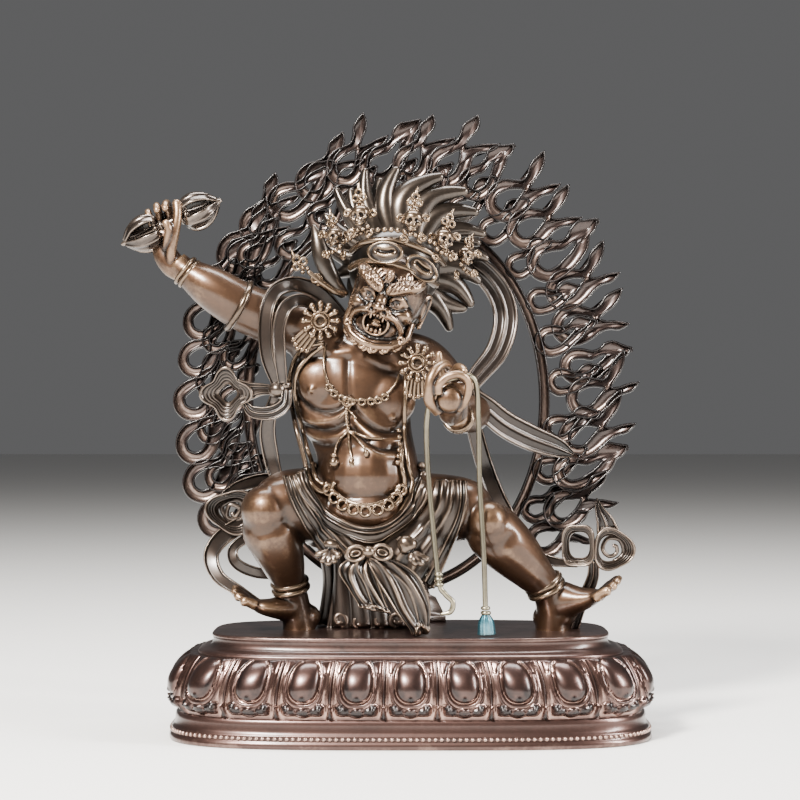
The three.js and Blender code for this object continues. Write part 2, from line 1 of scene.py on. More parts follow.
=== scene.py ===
"""The looks of a small copper casting: a wrathful guardian deity who lunges on a lotus plinth before a
ring of flames. Shapes are worked out in millimetres, with +Z up and the viewer looking along +Y."""

import bpy
import numpy as np
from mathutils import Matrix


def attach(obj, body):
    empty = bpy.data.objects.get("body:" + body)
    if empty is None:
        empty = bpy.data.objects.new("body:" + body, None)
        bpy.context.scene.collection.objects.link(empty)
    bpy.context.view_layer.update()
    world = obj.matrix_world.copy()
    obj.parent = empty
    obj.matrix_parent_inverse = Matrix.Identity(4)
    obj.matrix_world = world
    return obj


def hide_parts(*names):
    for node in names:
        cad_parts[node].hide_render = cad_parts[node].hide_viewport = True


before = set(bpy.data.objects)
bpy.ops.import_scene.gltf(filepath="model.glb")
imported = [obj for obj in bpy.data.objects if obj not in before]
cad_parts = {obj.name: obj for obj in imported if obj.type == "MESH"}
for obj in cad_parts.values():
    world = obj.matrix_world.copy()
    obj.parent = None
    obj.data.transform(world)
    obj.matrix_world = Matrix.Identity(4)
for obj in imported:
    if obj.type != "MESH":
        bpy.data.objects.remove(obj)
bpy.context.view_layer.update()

# The view: a close-up lens level with the deity's belly, 350 mm in front of the plinth's middle.


def placed(name, data):
    """An object of that name in the scene, at the origin."""
    thing = bpy.data.objects.new(name, data)
    bpy.context.scene.collection.objects.link(thing)
    return thing


lens = bpy.data.cameras.new("close_up_lens")
lens.lens = 90
lens.sensor_width = 36
lens.clip_start = 0.01
camera = placed("camera", lens)
camera.location = (0, -0.35, 0.0525)
camera.rotation_euler = np.radians((90.86, 0, 0.3))
bpy.context.scene.camera = camera

# The studio: a pale matt floor under one small bright lamp from the upper left, with a weaker one
# opposite it and a long strip above.


def softbox(name, place, target_height, width, height, watts, tint):
    """A rectangular area lamp at place, turned to the object's middle line. Sizes are in metres."""
    light = bpy.data.lights.new(name, "AREA")
    light.shape = "RECTANGLE"
    light.size, light.size_y = width, height
    light.energy = watts
    light.color = tint
    lamp = placed(name, light)
    lamp.location = place
    x, y, z = np.subtract((0, 0, target_height), place)
    lamp.rotation_euler = (np.arctan2(np.hypot(x, y), -z), 0, np.arctan2(y, x) - np.pi / 2)


softbox("main_lamp", (-0.20, -0.36, 0.34), 0.06, 0.1, 0.1, 12.5, (1, 0.96, 0.9))
softbox("side_lamp", (0.40, -0.16, 0.20), 0.05, 0.06, 0.22, 4.4, (1, 0.97, 0.94))
softbox("top_strip", (0, 0.02, 0.50), 0.05, 0.40, 0.12, 4.5, (1, 1, 1))

world = bpy.data.worlds.new("studio_air")
world.use_nodes = True
air = world.node_tree.nodes["Background"].inputs
air["Color"].default_value = (0.62, 0.62, 0.63, 1)
air["Strength"].default_value = 0.19
bpy.context.scene.world = world

floor_mesh = bpy.data.meshes.new("floor")
floor_mesh.from_pydata([(-4, -4, 0), (4, -4, 0), (4, 4, 0), (-4, 4, 0)], [], [(0, 1, 2, 3)])
floor_paint = bpy.data.materials.new("floor_paint")
floor_paint.use_nodes = True
paint = floor_paint.node_tree.nodes["Principled BSDF"].inputs
paint["Base Color"].default_value = (0.78, 0.77, 0.75, 1)
paint["Roughness"].default_value = 0.8
floor_mesh.materials.append(floor_paint)
floor = placed("floor", floor_mesh)

# The plinth's casting: a rounded oblong in plan, with a bead rim, a hollow fascia, a recessed belt
# behind the petals, a ledge and the flat platform. Turned in wax to one profile, then cast.
rim_half = (41.4, 21.9)
platform_half = (34.1, 16.9)
plan_power = 3.6
fascia_top = 4.4
petal_top = 14.3
platform_top = 17.8


def unit(vectors):
    """The same directions with length 1."""
    return vectors / np.maximum(np.linalg.norm(vectors, axis=-1, keepdims=True), 1e-9)


def normals_of(points, faces):
    """Each point's normal: the sum of the normals of the faces round it, by their areas."""
    total = np.zeros_like(points)
    for block in faces:
        first, middle, last = (points[block[:, k]] - points[block[:, 0]] for k in (1, -2, -1))
        across = np.cross(first, middle) + (np.cross(middle, last) if block.shape[1] == 4 else 0)
        for corner in block.T:
            for axis in range(3):
                total[:, axis] += np.bincount(corner, across[:, axis], len(points))
    return unit(total)


def pairs_of(faces):
    """Every pair of neighbouring points, once each way."""
    ends = np.concatenate([np.stack([block, np.roll(block, -1, 1)], -1).reshape(-1, 2) for block in faces])
    return np.concatenate([ends, ends[:, ::-1]])


def mean_round(pairs, values):
    """Each point's mean of the values given for the pairs that start there."""
    total = [np.bincount(pairs[:, 0], column) for column in np.atleast_2d(values.T)]
    return (np.stack(total, 1) / np.bincount(pairs[:, 0])[:, None]).reshape(-1, *values.shape[1:])


def blurred(values, pairs, rounds):
    """Values spread over the skin: each round goes half way to the neighbours' mean."""
    for _ in range(rounds):
        values = (values + mean_round(pairs, values[pairs[:, 1]])) / 2
    return values


def wear_of(points, faces, spread):
    """How rubbed each point is, from 0 in a hollow through 0.5 on the flat to 1 on an edge. It is the
    distance that a point stands out from its neighbours' mean, over the square of the mesh's step, close
    by and evened out over spread points."""
    pairs = pairs_of(faces)
    beside = points[pairs[:, 1]]
    reach = mean_round(pairs, ((beside - points[pairs[:, 0]]) ** 2).sum(1))
    out = ((points - mean_round(pairs, beside)) * normals_of(points, faces)).sum(1)
    bend = np.clip(2 * out / np.maximum(reach, 1e-6), -3, 3)
    close_share, wide_share = 0.35, 0.9
    close, wide = blurred(bend, pairs, min(2, spread // 2)), blurred(bend, pairs, spread)
    return 0.5 + 0.5 * np.tanh(close_share * close + wide_share * wide)


def joined(shells):
    """Several shells as one: all their points, and their faces numbered on."""
    first = np.cumsum([0] + [len(points) for points, _ in shells])
    faces = [block + start for start, (_, blocks) in zip(first, shells) for block in blocks]
    return np.concatenate([points for points, _ in shells]), faces


def mesh_of(name, points, faces):
    """A smooth mesh from points and arrays of faces."""
    corners = np.concatenate([block.ravel() for block in faces]).astype(np.int32)
    sizes = np.concatenate([np.full(len(block), block.shape[1]) for block in faces])
    mesh = bpy.data.meshes.new(name)
    mesh.vertices.add(len(points))
    mesh.vertices.foreach_set("co", points.astype(np.float32).ravel())
    mesh.loops.add(len(corners))
    mesh.loops.foreach_set("vertex_index", corners)
    mesh.polygons.add(len(sizes))
    mesh.polygons.foreach_set("loop_start", (np.cumsum(sizes) - sizes).astype(np.int32))
    mesh.polygons.foreach_set("use_smooth", np.ones(len(sizes), bool))
    mesh.update(calc_edges=True)
    return mesh


def cast(name, shells, metal, node="figure", spread=14):
    """One piece of the object from closed shells, each (points in mm, arrays of faces). Every point
    carries how rubbed it is for the metal's patina, lowered on the figure towards the back as painted
    shade, and the piece stands for the named solid."""
    wear_and_back_shade = np.concatenate([wear_of(*shell, spread) for shell in shells])
    points, faces = joined(shells)
    if node == "figure":
        # Painted shade: on the figure the attribute drops towards the back (+Y), away from the camera and the
        # lamps, so the far side of every piece comes out darker.
        back_shade, back_shade_from, back_shade_over = 0.1, -6, 8
        wear_and_back_shade -= back_shade * np.clip((points[:, 1] - back_shade_from) / back_shade_over, 0, 1.5)
    mesh = mesh_of(name, points * 0.001, faces)
    mesh.attributes.new("wear_and_back_shade", "FLOAT", "POINT").data.foreach_set("value", wear_and_back_shade.astype(np.float32))
    mesh.materials.append(metal)
    piece = placed(name, mesh)
    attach(piece, "root")
    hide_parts(node)


def quads(rows, around, closed=False):
    """Faces over a grid with that many rows, each closed round on itself. A closed grid also joins its
    last row to the first."""
    i, j = np.meshgrid(np.arange(rows if closed else rows - 1), np.arange(around), indexing="ij")
    n, k = (i + 1) % rows, (j + 1) % around
    return np.stack([i * around + j, n * around + j, n * around + k, i * around + k], -1).reshape(-1, 4)


def looped(rows):
    """A shell closed both ways, from rows of points round a ring."""
    return rows.reshape(-1, 3), [quads(*rows.shape[:2], True)]


def capped(rows):
    """A closed shell from rows of points: faces between the rows, and a fan to a middle point at each
    end. The rows run so that the first one's fan faces backwards along them."""
    count, around = rows.shape[:2]
    j = np.arange(around)
    k, last, tip = (j + 1) % around, (count - 1) * around, np.full(around, count * around)
    fans = np.concatenate([np.stack([tip, j, k], 1), np.stack([tip + 1, last + k, last + j], 1)])
    points = np.concatenate([rows.reshape(-1, 3), rows[:1].mean(1), rows[-1:].mean(1)])
    return points, [quads(count, around), fans]


def plan_curve(half, count):
    """A rounded oblong |x/a|^p + |y/b|^p = 1 walked anticlockwise at an even pace, with its outward
    normals."""
    angle = np.linspace(0, 2 * np.pi, 8001)
    round_line = np.stack([np.cos(angle), np.sin(angle)])
    x, y = np.reshape(half, (2, 1)) * np.sign(round_line) * np.abs(round_line) ** (2 / plan_power)
    walked = np.concatenate([[0], np.cumsum(np.hypot(np.diff(x), np.diff(y)))])
    at = np.linspace(0, walked[-1], count, endpoint=False)
    curve = np.stack([np.interp(at, walked, x), np.interp(at, walked, y)], 1)
    ahead = unit(np.roll(curve, -1, 0) - np.roll(curve, 1, 0))
    return curve, np.stack([ahead[:, 1], -ahead[:, 0]], 1)


def oblong(spread, heights, count, proud=0.0):
    """A belt of rows round the plinth: at each row the outline lies between the platform's (spread 0)
    and the rim's (spread 1), pushed out by proud mm, at the row's height."""
    inner, (outer, normal) = plan_curve(platform_half, count)[0], plan_curve(rim_half, count)
    spread, heights = np.reshape(spread, (-1, 1)), np.reshape(heights, (-1, 1))
    proud = np.broadcast_to(proud, (len(heights), count))[..., None]
    flat = inner + (outer - inner) * spread[..., None] + normal * proud
    return np.concatenate([flat, np.broadcast_to(heights[..., None], proud.shape)], 2)


def copper(name, hollow, flat, edge, rough, grain=1.0):
    """Waxed, patinated copper: hollow, flat and edge are its colours where grime gathers, on open skin
    and where hands rub it, mixed by the wear_and_back_shade attribute, which on the figure's pieces
    also holds a painted shade that darkens them towards the back, and stirred by two sizes of noise."""
    cloud_size, speck_size = 170.0, 1500.0
    stirred_by_cloud, stirred_by_speck = 0.5 * grain, 0.22 * grain
    rough_swing, rough_floor = 0.42, rough - 0.08
    wax, wax_rough = 0.6, 0.21
    metal = bpy.data.materials.new(name)
    metal.use_nodes = True
    tree = metal.node_tree
    skin = tree.nodes["Principled BSDF"].inputs

    def node(kind, values, **settings):
        """A node with its settings made, and a number or a link on each of its named sockets."""
        made = tree.nodes.new("ShaderNode" + kind)
        for setting, value in settings.items():
            setattr(made, setting, value)
        for socket, value in values.items():
            if isinstance(value, bpy.types.NodeSocket):
                tree.links.new(value, made.inputs[socket])
            else:
                made.inputs[socket].default_value = value
        return made.outputs

    def maths(operation, *values):
        return node("Math", dict(enumerate(values)), operation=operation)[0]

    where = node("TexCoord", {})["Object"]
    cloud = node("TexNoise", {"Vector": where, "Scale": cloud_size, "Detail": 4.0, "Roughness": 0.6})["Fac"]
    speck = node("TexNoise", {"Vector": where, "Scale": speck_size, "Detail": 3.0})["Fac"]
    stirred = node("Attribute", {}, attribute_name="wear_and_back_shade")["Fac"]
    for noise, share in ((cloud, stirred_by_cloud), (speck, stirred_by_speck)):
        stirred = maths("MULTIPLY_ADD", maths("SUBTRACT", noise, 0.5), share, stirred)
    mixed = node("ValToRGB", {"Fac": stirred})["Color"]
    stops = mixed.node.color_ramp.elements
    stops.new(0.62)
    for stop, position, colour in zip(stops, (0.22, 0.62, 1.0), (hollow, flat, edge)):
        stop.position = position
        stop.color = (*colour, 1)
    dull = maths("MULTIPLY_ADD", maths("SUBTRACT", 0.5, stirred), rough_swing, rough)
    pitted = maths("ADD", maths("MULTIPLY", cloud, 0.7), maths("MULTIPLY", speck, 0.3))
    bumped = node("Bump", {"Height": pitted, "Strength": 0.18, "Distance": 0.0002})["Normal"]
    tree.links.new(mixed, skin["Base Color"])
    tree.links.new(maths("MAXIMUM", dull, rough_floor), skin["Roughness"])
    tree.links.new(bumped, skin["Normal"])
    skin["Metallic"].default_value = 0.9
    skin["Coat Weight"].default_value = wax
    skin["Coat Roughness"].default_value = wax_rough
    return metal


plinth_metal = copper("plinth_copper", (0.011, 0.007, 0.006), (0.075, 0.039, 0.032), (0.38, 0.25, 0.205),
                      0.37)
plinth_profile = np.array([
    (0.90, 0), (0.97, 0), (1, 0.15), (1.01, 0.5), (1, 0.9), (0.975, 1.15), (0.955, 1.3), (0.95, 1.6),
    (0.955, 2.1), (0.94, 2.3), (0.905, 2.5), (0.885, 2.9), (0.87, 3.4), (0.865, 3.9), (0.86, fascia_top),
    (0.82, 4.8), (0.55, 5.6), (0.40, 9), (0.34, 13), (0.33, 14.1), (0.345, petal_top), (0.35, 14.6),
    (0.335, 14.9), (0.19, 15.25), (0.12, 15.4), (0.06, 15.6), (0.02, 15.9), (0, 16.4), (-0.005, 16.8),
    (0, 17.1), (0.02, 17.25), (0.025, 17.5), (0.01, 17.72), (-0.02, platform_top), (-0.25, platform_top),
    (-1, 17.75), (-1.9, 17.75),
])
plinth_rows = oblong(*plinth_profile.T, 330)
cast("plinth_casting", [capped(plinth_rows[:, ::-1])], plinth_metal, "lotus_plinth")

# The ring of lotus petals: each has a burnished oval boss inside a doubled rim, a small leaf at its
# foot and a scroll of three curls below, with the ribs and points of the rear petals between.
petal_count, petal_columns, petal_rows = 24, 44, 54


def dome(x, y, x0, y0, half_x, half_y):
    """A rounded mound of height 1 over an oval: the square root of 1 - x^2 - y^2."""
    return np.sqrt(np.clip(1 - ((x - x0) / half_x) ** 2 - ((y - y0) / half_y) ** 2, 0, 1))


def ridge(distance, width):
    """A soft ridge of height 1 along the line where distance is 0."""
    return np.exp(-((distance / width) ** 2))


def ramp(values, start, length):
    """0 up to start, then a straight rise to 1 over length."""
    return np.clip((values - start) / length, 0, 1)


def petal_relief(a, b):
    """Height in mm of a petal at a across (-1 to 1 from gap to gap) and b down (0 to 1): a broad
    shield, the boss and its rims, the leaf, three curls and the rear petals' ribs and points."""
    side = np.abs(a)
    gap = 1 - side
    shield = np.clip(1 - (side / 0.9) ** 5, 0, 1) * (1 - ramp(b, 0.72, 0.2) ** 2)
    ring = ((side / 0.56) ** 2.5 + (np.abs(b - 0.34) / 0.33) ** 2.5) ** (1 / 2.5)
    boss = 1.25 * np.sqrt(np.clip(1 - ring ** 2, 0, 1)) - 0.25 * ridge(ring - 1.05, 0.07)
    rims = 0.42 * ridge(ring - 1.17, 0.055) + 0.36 * ridge(ring - 1.36, 0.055) * (b > 0.2)
    leaf = 0.35 * ridge(a, 0.1 + 0.25 * np.clip(b - 0.52, 0, 1)) * ridge(b - 0.62, 0.05)
    curls = sum(size * dome(side, b, *oval) for size, *oval in (
        (0.95, 0.5, 0.835, 0.27, 0.07), (1.05, 0, 0.86, 0.3, 0.075), (0.8, 0.64, 0.76, 0.16, 0.06),
        (0.3, 0, 0.78, 0.2, 0.03)))
    curls -= 0.3 * ridge(np.abs(side - 0.26), 0.03) * ridge(b - 0.84, 0.05)
    ribs = (0.75 * ridge(gap, 0.045) + 0.55 * ridge(gap - 0.15, 0.03)) * ramp(-b, -0.86, 0.1)
    points = 1.3 * np.clip(1 - gap / (0.02 + 0.75 * np.clip(b - 0.72, 0, 1)), 0, 1)
    points = points * ramp(-b, -0.99, 0.06) * (b > 0.72)
    return shield + boss + rims + leaf + np.maximum(curls, 0) + ribs + points


belt_round = petal_count * petal_columns
across = (np.arange(belt_round) / petal_columns + 0.5) % 1 * 2 - 1
down = np.linspace(0, 1, petal_rows)[:, None]
belly = 1 - (2 * down - 1) ** 2
belt = oblong(0.44 + 0.30 * down + 0.16 * belly, petal_top + 0.15 + (fascia_top - petal_top) * down,
              belt_round, 0.25 + petal_relief(across, down) * (0.5 + 0.5 * belly ** 0.5))
back = oblong((0.2, 0.2), belt[[-1, 0], 0, 2], belt_round)
petal_metal = copper("petal_copper", (0.01, 0.006, 0.006), (0.095, 0.048, 0.038), (0.46, 0.29, 0.23), 0.28)
cast("lotus_petals", [looped(np.concatenate([belt, back])[::-1])], petal_metal,
     "lotus_plinth")

# Small beads stand in a row round the rim, just above its foot.


def evenly(count):
    """Angles at an even pace round a circle."""
    return np.linspace(0, 2 * np.pi, count, endpoint=False)


def beads(places, radius, rows=7, around=10):
    """A round bead at each place, all as one shell."""
    polar, turn = np.linspace(0, np.pi, rows + 1)[1:-1, None], evenly(around)
    ball, faces = capped(np.stack(np.broadcast_arrays(
        np.sin(polar) * np.cos(turn), np.sin(polar) * np.sin(turn), np.cos(polar)), -1))
    ball[-2:, 2] = (1, -1)
    return joined([(place + ball * radius, faces) for place in np.asarray(places, float)])


rim_line = oblong(0.955, 1.75, 216)[0]
cast("rim_beads", [beads(rim_line, 0.36, 5, 8)], plinth_metal, "lotus_plinth")

# The aureole is one openwork casting: a grooved ring on a foot at the back of the platform, with rows
# of looped flames that all blow to the upper right.
ring_centre = (-2.6, 57.9)
ring_half = (26.9, 34.1)
ring_plane = 13.2


def along(points, count, closed=False):
    """A smooth line through the points, as a Catmull-Rom curve: between two points it is a cubic whose
    slopes come from their neighbours. Gives count places, evenly spread over the points."""
    p = np.asarray(points, float)
    spans = len(p) if closed else len(p) - 1
    p = np.concatenate([p[-1:], p, p[:2]] if closed else [2 * p[:1] - p[1:2], p, 2 * p[-1:] - p[-2:-1]])
    t = np.linspace(0, spans, count, endpoint=not closed)
    i = np.minimum(t.astype(int), spans - 1)
    f = (t - i)[:, None]
    a, b, c, d = (p[i + k] for k in range(4))
    return b + ((c - a) * f + (2 * a - 5 * b + 4 * c - d) * f ** 2 + (3 * b - a - 3 * c + d) * f ** 3) / 2


def upright(flat, depth):
    """Points drawn in X and Z at their depths in front of the aureole's plane."""
    return np.stack(np.broadcast_arrays(flat[..., 0], ring_plane - depth, flat[..., 1]), -1)


def circle(count):
    """Places at an even pace round a circle of radius 1."""
    return np.stack([np.cos(evenly(count)), np.sin(evenly(count))], 1)


def inward(line):
    """The directions that point into a closed line walked clockwise."""
    ahead = unit(np.roll(line, -1, 0) - np.roll(line, 1, 0))
    return np.stack([ahead[:, 1], -ahead[:, 0]], 1)


# Half of the ring's section, from its edge to the groove in its middle.
band_rim = [(0.97, 0.62), (0.82, 0.86), (0.64, 0.7), (0.52, 0.12)]
band_section = np.array([(-1, 0), *[(-x, y) for x, y in band_rim], (0, 0.02), *band_rim[::-1],
                         (1, 0), (0.9, -0.75), (0, -0.8), (-0.9, -0.75)])
band_line = circle(320)
band_out = unit(band_line / ring_half)[:, None]
band = (ring_centre + band_line * ring_half)[:, None] + band_section[:, :1] * band_out
aureole_parts = [looped(upright(band, band_section[:, 1]))]

# Each kind of flame is four lines, as shares of its length: the outline's fork and loop, then the eye's.
forked = ([(1.06, 0.44), (0.96, 0.28), (0.82, 0.17), (0.66, 0.11), (0.52, 0.02), (0.64, -0.06),
           (0.80, -0.11), (1.04, -0.22)],
          [(1.04, -0.22), (0.84, -0.26), (0.66, -0.20), (0.48, -0.22), (0.30, -0.31), (0.08, -0.36),
           (-0.17, -0.32), (-0.34, -0.10), (-0.31, 0.16), (-0.10, 0.34), (0.14, 0.36), (0.32, 0.27),
           (0.46, 0.21), (0.60, 0.26), (0.74, 0.38), (0.90, 0.42), (1.06, 0.44)],
          [(0.35, 0), (0.40, 0.05), (0.35, 0.09)],
          [(0.35, 0), (0.20, -0.09), (0.05, -0.15), (-0.10, -0.11), (-0.15, 0.03), (-0.06, 0.15),
           (0.11, 0.17), (0.25, 0.13), (0.35, 0.09)])
single = ([(1.12, 0.10), (1.10, 0.02), (1.12, 0.10)],
          [(1.12, 0.10), (0.98, -0.02), (0.84, -0.04), (0.70, -0.16), (0.52, -0.24), (0.30, -0.34),
           (0.08, -0.37), (-0.17, -0.33), (-0.35, -0.10), (-0.31, 0.16), (-0.10, 0.32), (0.14, 0.30),
           (0.34, 0.20), (0.50, 0.20), (0.64, 0.28), (0.80, 0.29), (0.94, 0.20), (1.12, 0.10)],
          [(0.50, -0.02), (0.58, 0.04), (0.52, 0.07)],
          [(0.50, -0.02), (0.34, -0.10), (0.12, -0.17), (-0.08, -0.14), (-0.15, 0.02), (-0.06, 0.13),
           (0.12, 0.11), (0.30, 0.04), (0.52, 0.07)])
# Round a flame's section: the share of the way to the eye, mm in from that line, and mm towards the viewer.
flame_section = np.array([
    (0, 0, 0), (0, 0.06, 0.5), (0, 0.2, 0.74), (0, 0.36, 0.6), (0, 0.52, 0.02), (0.5, 0.05, -0.04),
    (1, 0.5, 0.02), (1, 0.36, 0.56), (1, 0.2, 0.7), (1, 0.05, 0.5), (1, 0, 0), (1, 0.15, -0.55),
    (0, 0.2, -0.55)])
flame_share, flame_inset, flame_height = flame_section.T[..., None]


def flame(x, z, direction, length, plane, bend, kind):
    """One flame: a loop round a teardrop eye that runs out in wavy tips. Its section, from the outline
    to the eye, has a rim at each side and a channel between them; the tips sway by bend."""
    fork, loop, eye_fork, eye_loop = kind
    flat = np.stack([np.concatenate([along(tip, 25)[:-1], along(rest, 57)[:-1]])
                     for tip, rest in ((fork, loop), (eye_fork[::-1], eye_loop))])
    flat[..., 1] += bend * np.sin(np.clip(flat[..., 0] - 0.25, 0, 1) * 5.5)
    outline, eye = flat * length
    into, out = inward(outline), -inward(eye)
    outline, eye, into, out = (line[:, None] for line in (outline - 0.24 * into, eye - 0.14 * out, into, out))
    flat = outline + (eye - outline) * flame_share + flame_inset * np.where(flame_share < 1, into, out)
    c, s = np.cos(np.radians(direction)), np.sin(np.radians(direction))
    return looped(upright((x, z) + flat @ [(c, s), (-s, c)], flame_height[:, 0] + plane))


def blown(angle):
    """The flames' direction: steep on the left and over the top, flatter down the right side."""
    t = ramp(angle, 10, 75)
    return 20 + 24 * t * t * (3 - 2 * t)


chance = np.random.default_rng(7)
flame_rows = (((-33, 205), 20, (2.9, 3.6, 2.9), 7.4, (single,)), ((140, 200), 6, (7, 7, 7), 7.2, (single,)),
              ((-38, 209), 27, (7.0, 9.2, 10.2), 9.6, (forked, forked, single)))
for (start, end), count, (right, top, left), length, kinds in flame_rows:
    for number, angle in enumerate(np.linspace(start, end, count)):
        c, s = np.cos(np.radians(angle)), np.sin(np.radians(angle))
        beside = right if c > 0 else left
        reach = beside + (top - beside) * max(0, s) ** 2
        place = np.add(ring_centre, np.add(ring_half, reach) * (c, s)) + chance.uniform(-0.5, 0.5, 2)
        aureole_parts.append(flame(
            *place, blown(angle) + chance.uniform(-11, 9), length * chance.uniform(0.9, 1.1),
            chance.uniform(-0.3, 0.25), chance.uniform(-0.05, 0.07), kinds[number % len(kinds)]))
foot_rows = [(9, platform_top), (9, 18.7), (8.5, 18.9), (8.5, 19.6), (8.1, 20.4), (7.2, 22.2), (6.2, 22.6),
             (5.5, 24.4)]
foot = np.array([[(ring_centre[0] + x * w, ring_plane - y, z) for x, y in (
    (-1, 0.9), (0, 1), (1, 0.9), (1, -0.9), (0, -0.9), (-1, -0.9))] for w, z in foot_rows])
aureole_metal = copper("aureole_copper", (0.006, 0.004, 0.004), (0.042, 0.027, 0.023), (0.27, 0.19, 0.155),
                       0.36)
cast("flames_and_ring", aureole_parts, aureole_metal, "flame_aureole", 3)
# Painted shade: the foot stands in shadow behind the figure, so it gets a dimmer copy of the flames' copper.
shade_metal = copper("shaded_copper", (0.008, 0.005, 0.004), (0.04, 0.027, 0.021), (0.17, 0.12, 0.09), 0.42)
cast("aureole_foot", [capped(foot[::-1])], shade_metal, "flame_aureole")

# The deity's body is modelled in wax as rounded masses that run into each other: trunk, chest, round
# belly, arms and lunging legs, then cut with creases at the chest, ribs and knees.


def sweep(points, sizes, rows=40, around=24, facing=(0, -1, 0), ends=(0, 0), section=None):
    """Carries a closed section along a smooth line. Each size is (half width, half depth) in mm: the
    width runs across both the line and facing, the depth towards facing. An end marked 1 closes as a
    half ball does, by the square root of 1 - t^2 over one radius of length."""
    line, size = along(points, rows), along([np.broadcast_to(s, 2) for s in sizes], rows)
    ahead = unit(np.gradient(line, axis=0))
    side = unit(np.cross(ahead, facing))
    out = np.cross(side, ahead)
    walked = np.concatenate([[0], np.cumsum(np.linalg.norm(np.diff(line, axis=0), axis=1))])
    for closes, near in zip(ends, (walked, walked[-1] - walked)):
        if closes:
            t = np.clip(1 - near / size.mean(1), 0, 1)
            size = size * np.sqrt(np.clip(1 - t ** 2, 0.002, 1))[:, None]
    flat = (circle(around) if section is None else section) * size[:, None]
    return capped(line[:, None] + side[:, None] * flat[..., :1] + out[:, None] * flat[..., 1:])


def spun(turn):
    """The rotation by turn degrees about X, then Y, then Z."""
    (a, b, c), (d, e, f) = np.cos(np.radians(turn)), np.sin(np.radians(turn))
    about_x = np.array([[1, 0, 0], [0, a, -d], [0, d, a]])
    about_y = np.array([[b, 0, e], [0, 1, 0], [-e, 0, b]])
    about_z = np.array([[c, -f, 0], [f, c, 0], [0, 0, 1]])
    return about_z @ about_y @ about_x


def moved(shell, turn, middle, size=1):
    """A shell scaled, turned about the origin, then moved."""
    return shell[0] * size @ spun(turn).T + middle, shell[1]


def blob(middle, half, turn=(0, 0, 0), rows=14, around=22):
    """An egg: a ball scaled to its half sizes, turned and moved."""
    return moved(beads([(0, 0, 0)], 1, rows, around), turn, middle, half)


def melted(shells, grain, rounds=2):
    """Runs closed shells together into one skin: the space inside them is filled with cubes of grain
    mm, their outside is kept, and each round evens it out and swells it back."""
    wax = placed("wax", mesh_of("wax", *joined(shells)))
    cubes = wax.modifiers.new("cubes", "REMESH")
    cubes.mode = "VOXEL"
    cubes.voxel_size = grain
    skin = wax.evaluated_get(bpy.context.evaluated_depsgraph_get()).to_mesh()
    points, corners = np.zeros(len(skin.vertices) * 3, np.float32), np.zeros(len(skin.loops), np.int32)
    skin.vertices.foreach_get("co", points)
    skin.loops.foreach_get("vertex_index", corners)
    bpy.data.meshes.remove(wax.data)
    points, faces = points.reshape(-1, 3).astype(float), [corners.reshape(-1, 4)]
    pairs = pairs_of(faces)
    for pull in (0.6, -0.62) * rounds:
        points = points + pull * (mean_round(pairs, points[pairs[:, 1]]) - points)
    return points, faces


def cut(shell, lines):
    """Presses lines into a skin as a modelling tool does, or raises them. Each is (points in X and Z,
    width, depth): a point of the skin's front moves along its normal by depth times the bell curve of
    its distance from the line over the width."""
    points, faces = shell
    flat, normal = points[:, [0, 2]], normals_of(points, faces)
    facing = np.clip(-1.6 * normal[:, 1], 0, 1)
    total = np.zeros(len(points))
    for line, width, depth in lines:
        line = along(line, 12 * len(line)) if len(line) > 1 else np.array(line)
        beside = (flat > line.min(0) - 3 * width) & (flat < line.max(0) + 3 * width)
        near = np.flatnonzero(beside.all(1) & (facing > 0))
        total[near] += depth * ridge(np.linalg.norm(flat[near][:, None] - line, axis=2).min(1), width)
    return points + normal * (total * facing)[:, None], faces


def toes(roots, tips):
    """Five toes from the ball of the foot: the first is the thickest, and each has a round end."""
    made = []
    for root, tip, radius in zip(roots, tips, np.linspace(0.95, 0.6, 5)):
        path = [root, np.add(root, tip) / 2 + (0, 0, 0.25), tip]
        made.append(sweep(path, np.multiply((1.05, 0.92, 1), radius), 12, 12, (0, 0, 1), (0, 1)))
    return made


trunk = sweep(
    [(-7.6, 0, 33), (-7.5, -2, 40.5), (-7.4, -3, 46), (-8.4, -1.6, 51.5), (-9.6, -0.8, 56.5),
     (-9.8, -0.4, 61.5), (-8.8, -0.4, 66), (-7.2, -1.6, 69), (-6.2, -3, 72)],
    [(11, 7.5), (10.4, 7.8), (8.8, 7.4), (8.7, 6.3), (10.2, 6.3), (11.2, 6.4), (9.6, 5), (5.2, 4.5),
     (4.4, 4.2)],
    60, 40)
chest_and_belly = [blob(*mass) for mass in (
    ((-14.4, -4, 60.6), (5.6, 2.6, 4.9), (0, 10, 0)), ((-4.4, -4.3, 57.8), (5.4, 2.6, 4.9), (0, 10, 0)),
    ((-9, -2.8, 64), (9, 3.2, 5), (0, 10, 0)), ((-7.4, -3.2, 67.4), (4.8, 2.6, 3.4)),
    ((-7.6, -4.6, 44.8), (8.3, 7.6, 7.6)), ((-7.2, -5.4, 38.6), (8.6, 6.8, 5)),
    ((-7.6, -3.2, 40), (9.6, 7.4, 6)),
    ((-16.2, -0.6, 67.8), (5.2, 5, 5.4)), ((-1.4, 0.2, 63.6), (5, 4.8, 5)))]
arms = [
    sweep([(-14, -0.3, 67.2), (-18.8, -1, 70.2), (-24.1, -2, 71.8), (-29.5, -3.5, 74.1), (-34.6, -4.5, 77.2),
           (-39.2, -4.5, 80.3), (-40.5, -4.5, 81.8)], [5.4, 5, 4.5, 4.2, 3.7, 2.3, 1.95], 60, 28),
    sweep([(-3, 0.5, 65.2), (2.4, 0.5, 64), (7.3, 2.4, 59), (10.6, -0.6, 55.8), (8.4, -6.5, 54.4),
           (7.7, -9.2, 55.2)], [5, 4.6, 4, 3.6, 2.4, 2], 50, 26, (1, -0.2, 0.1))]
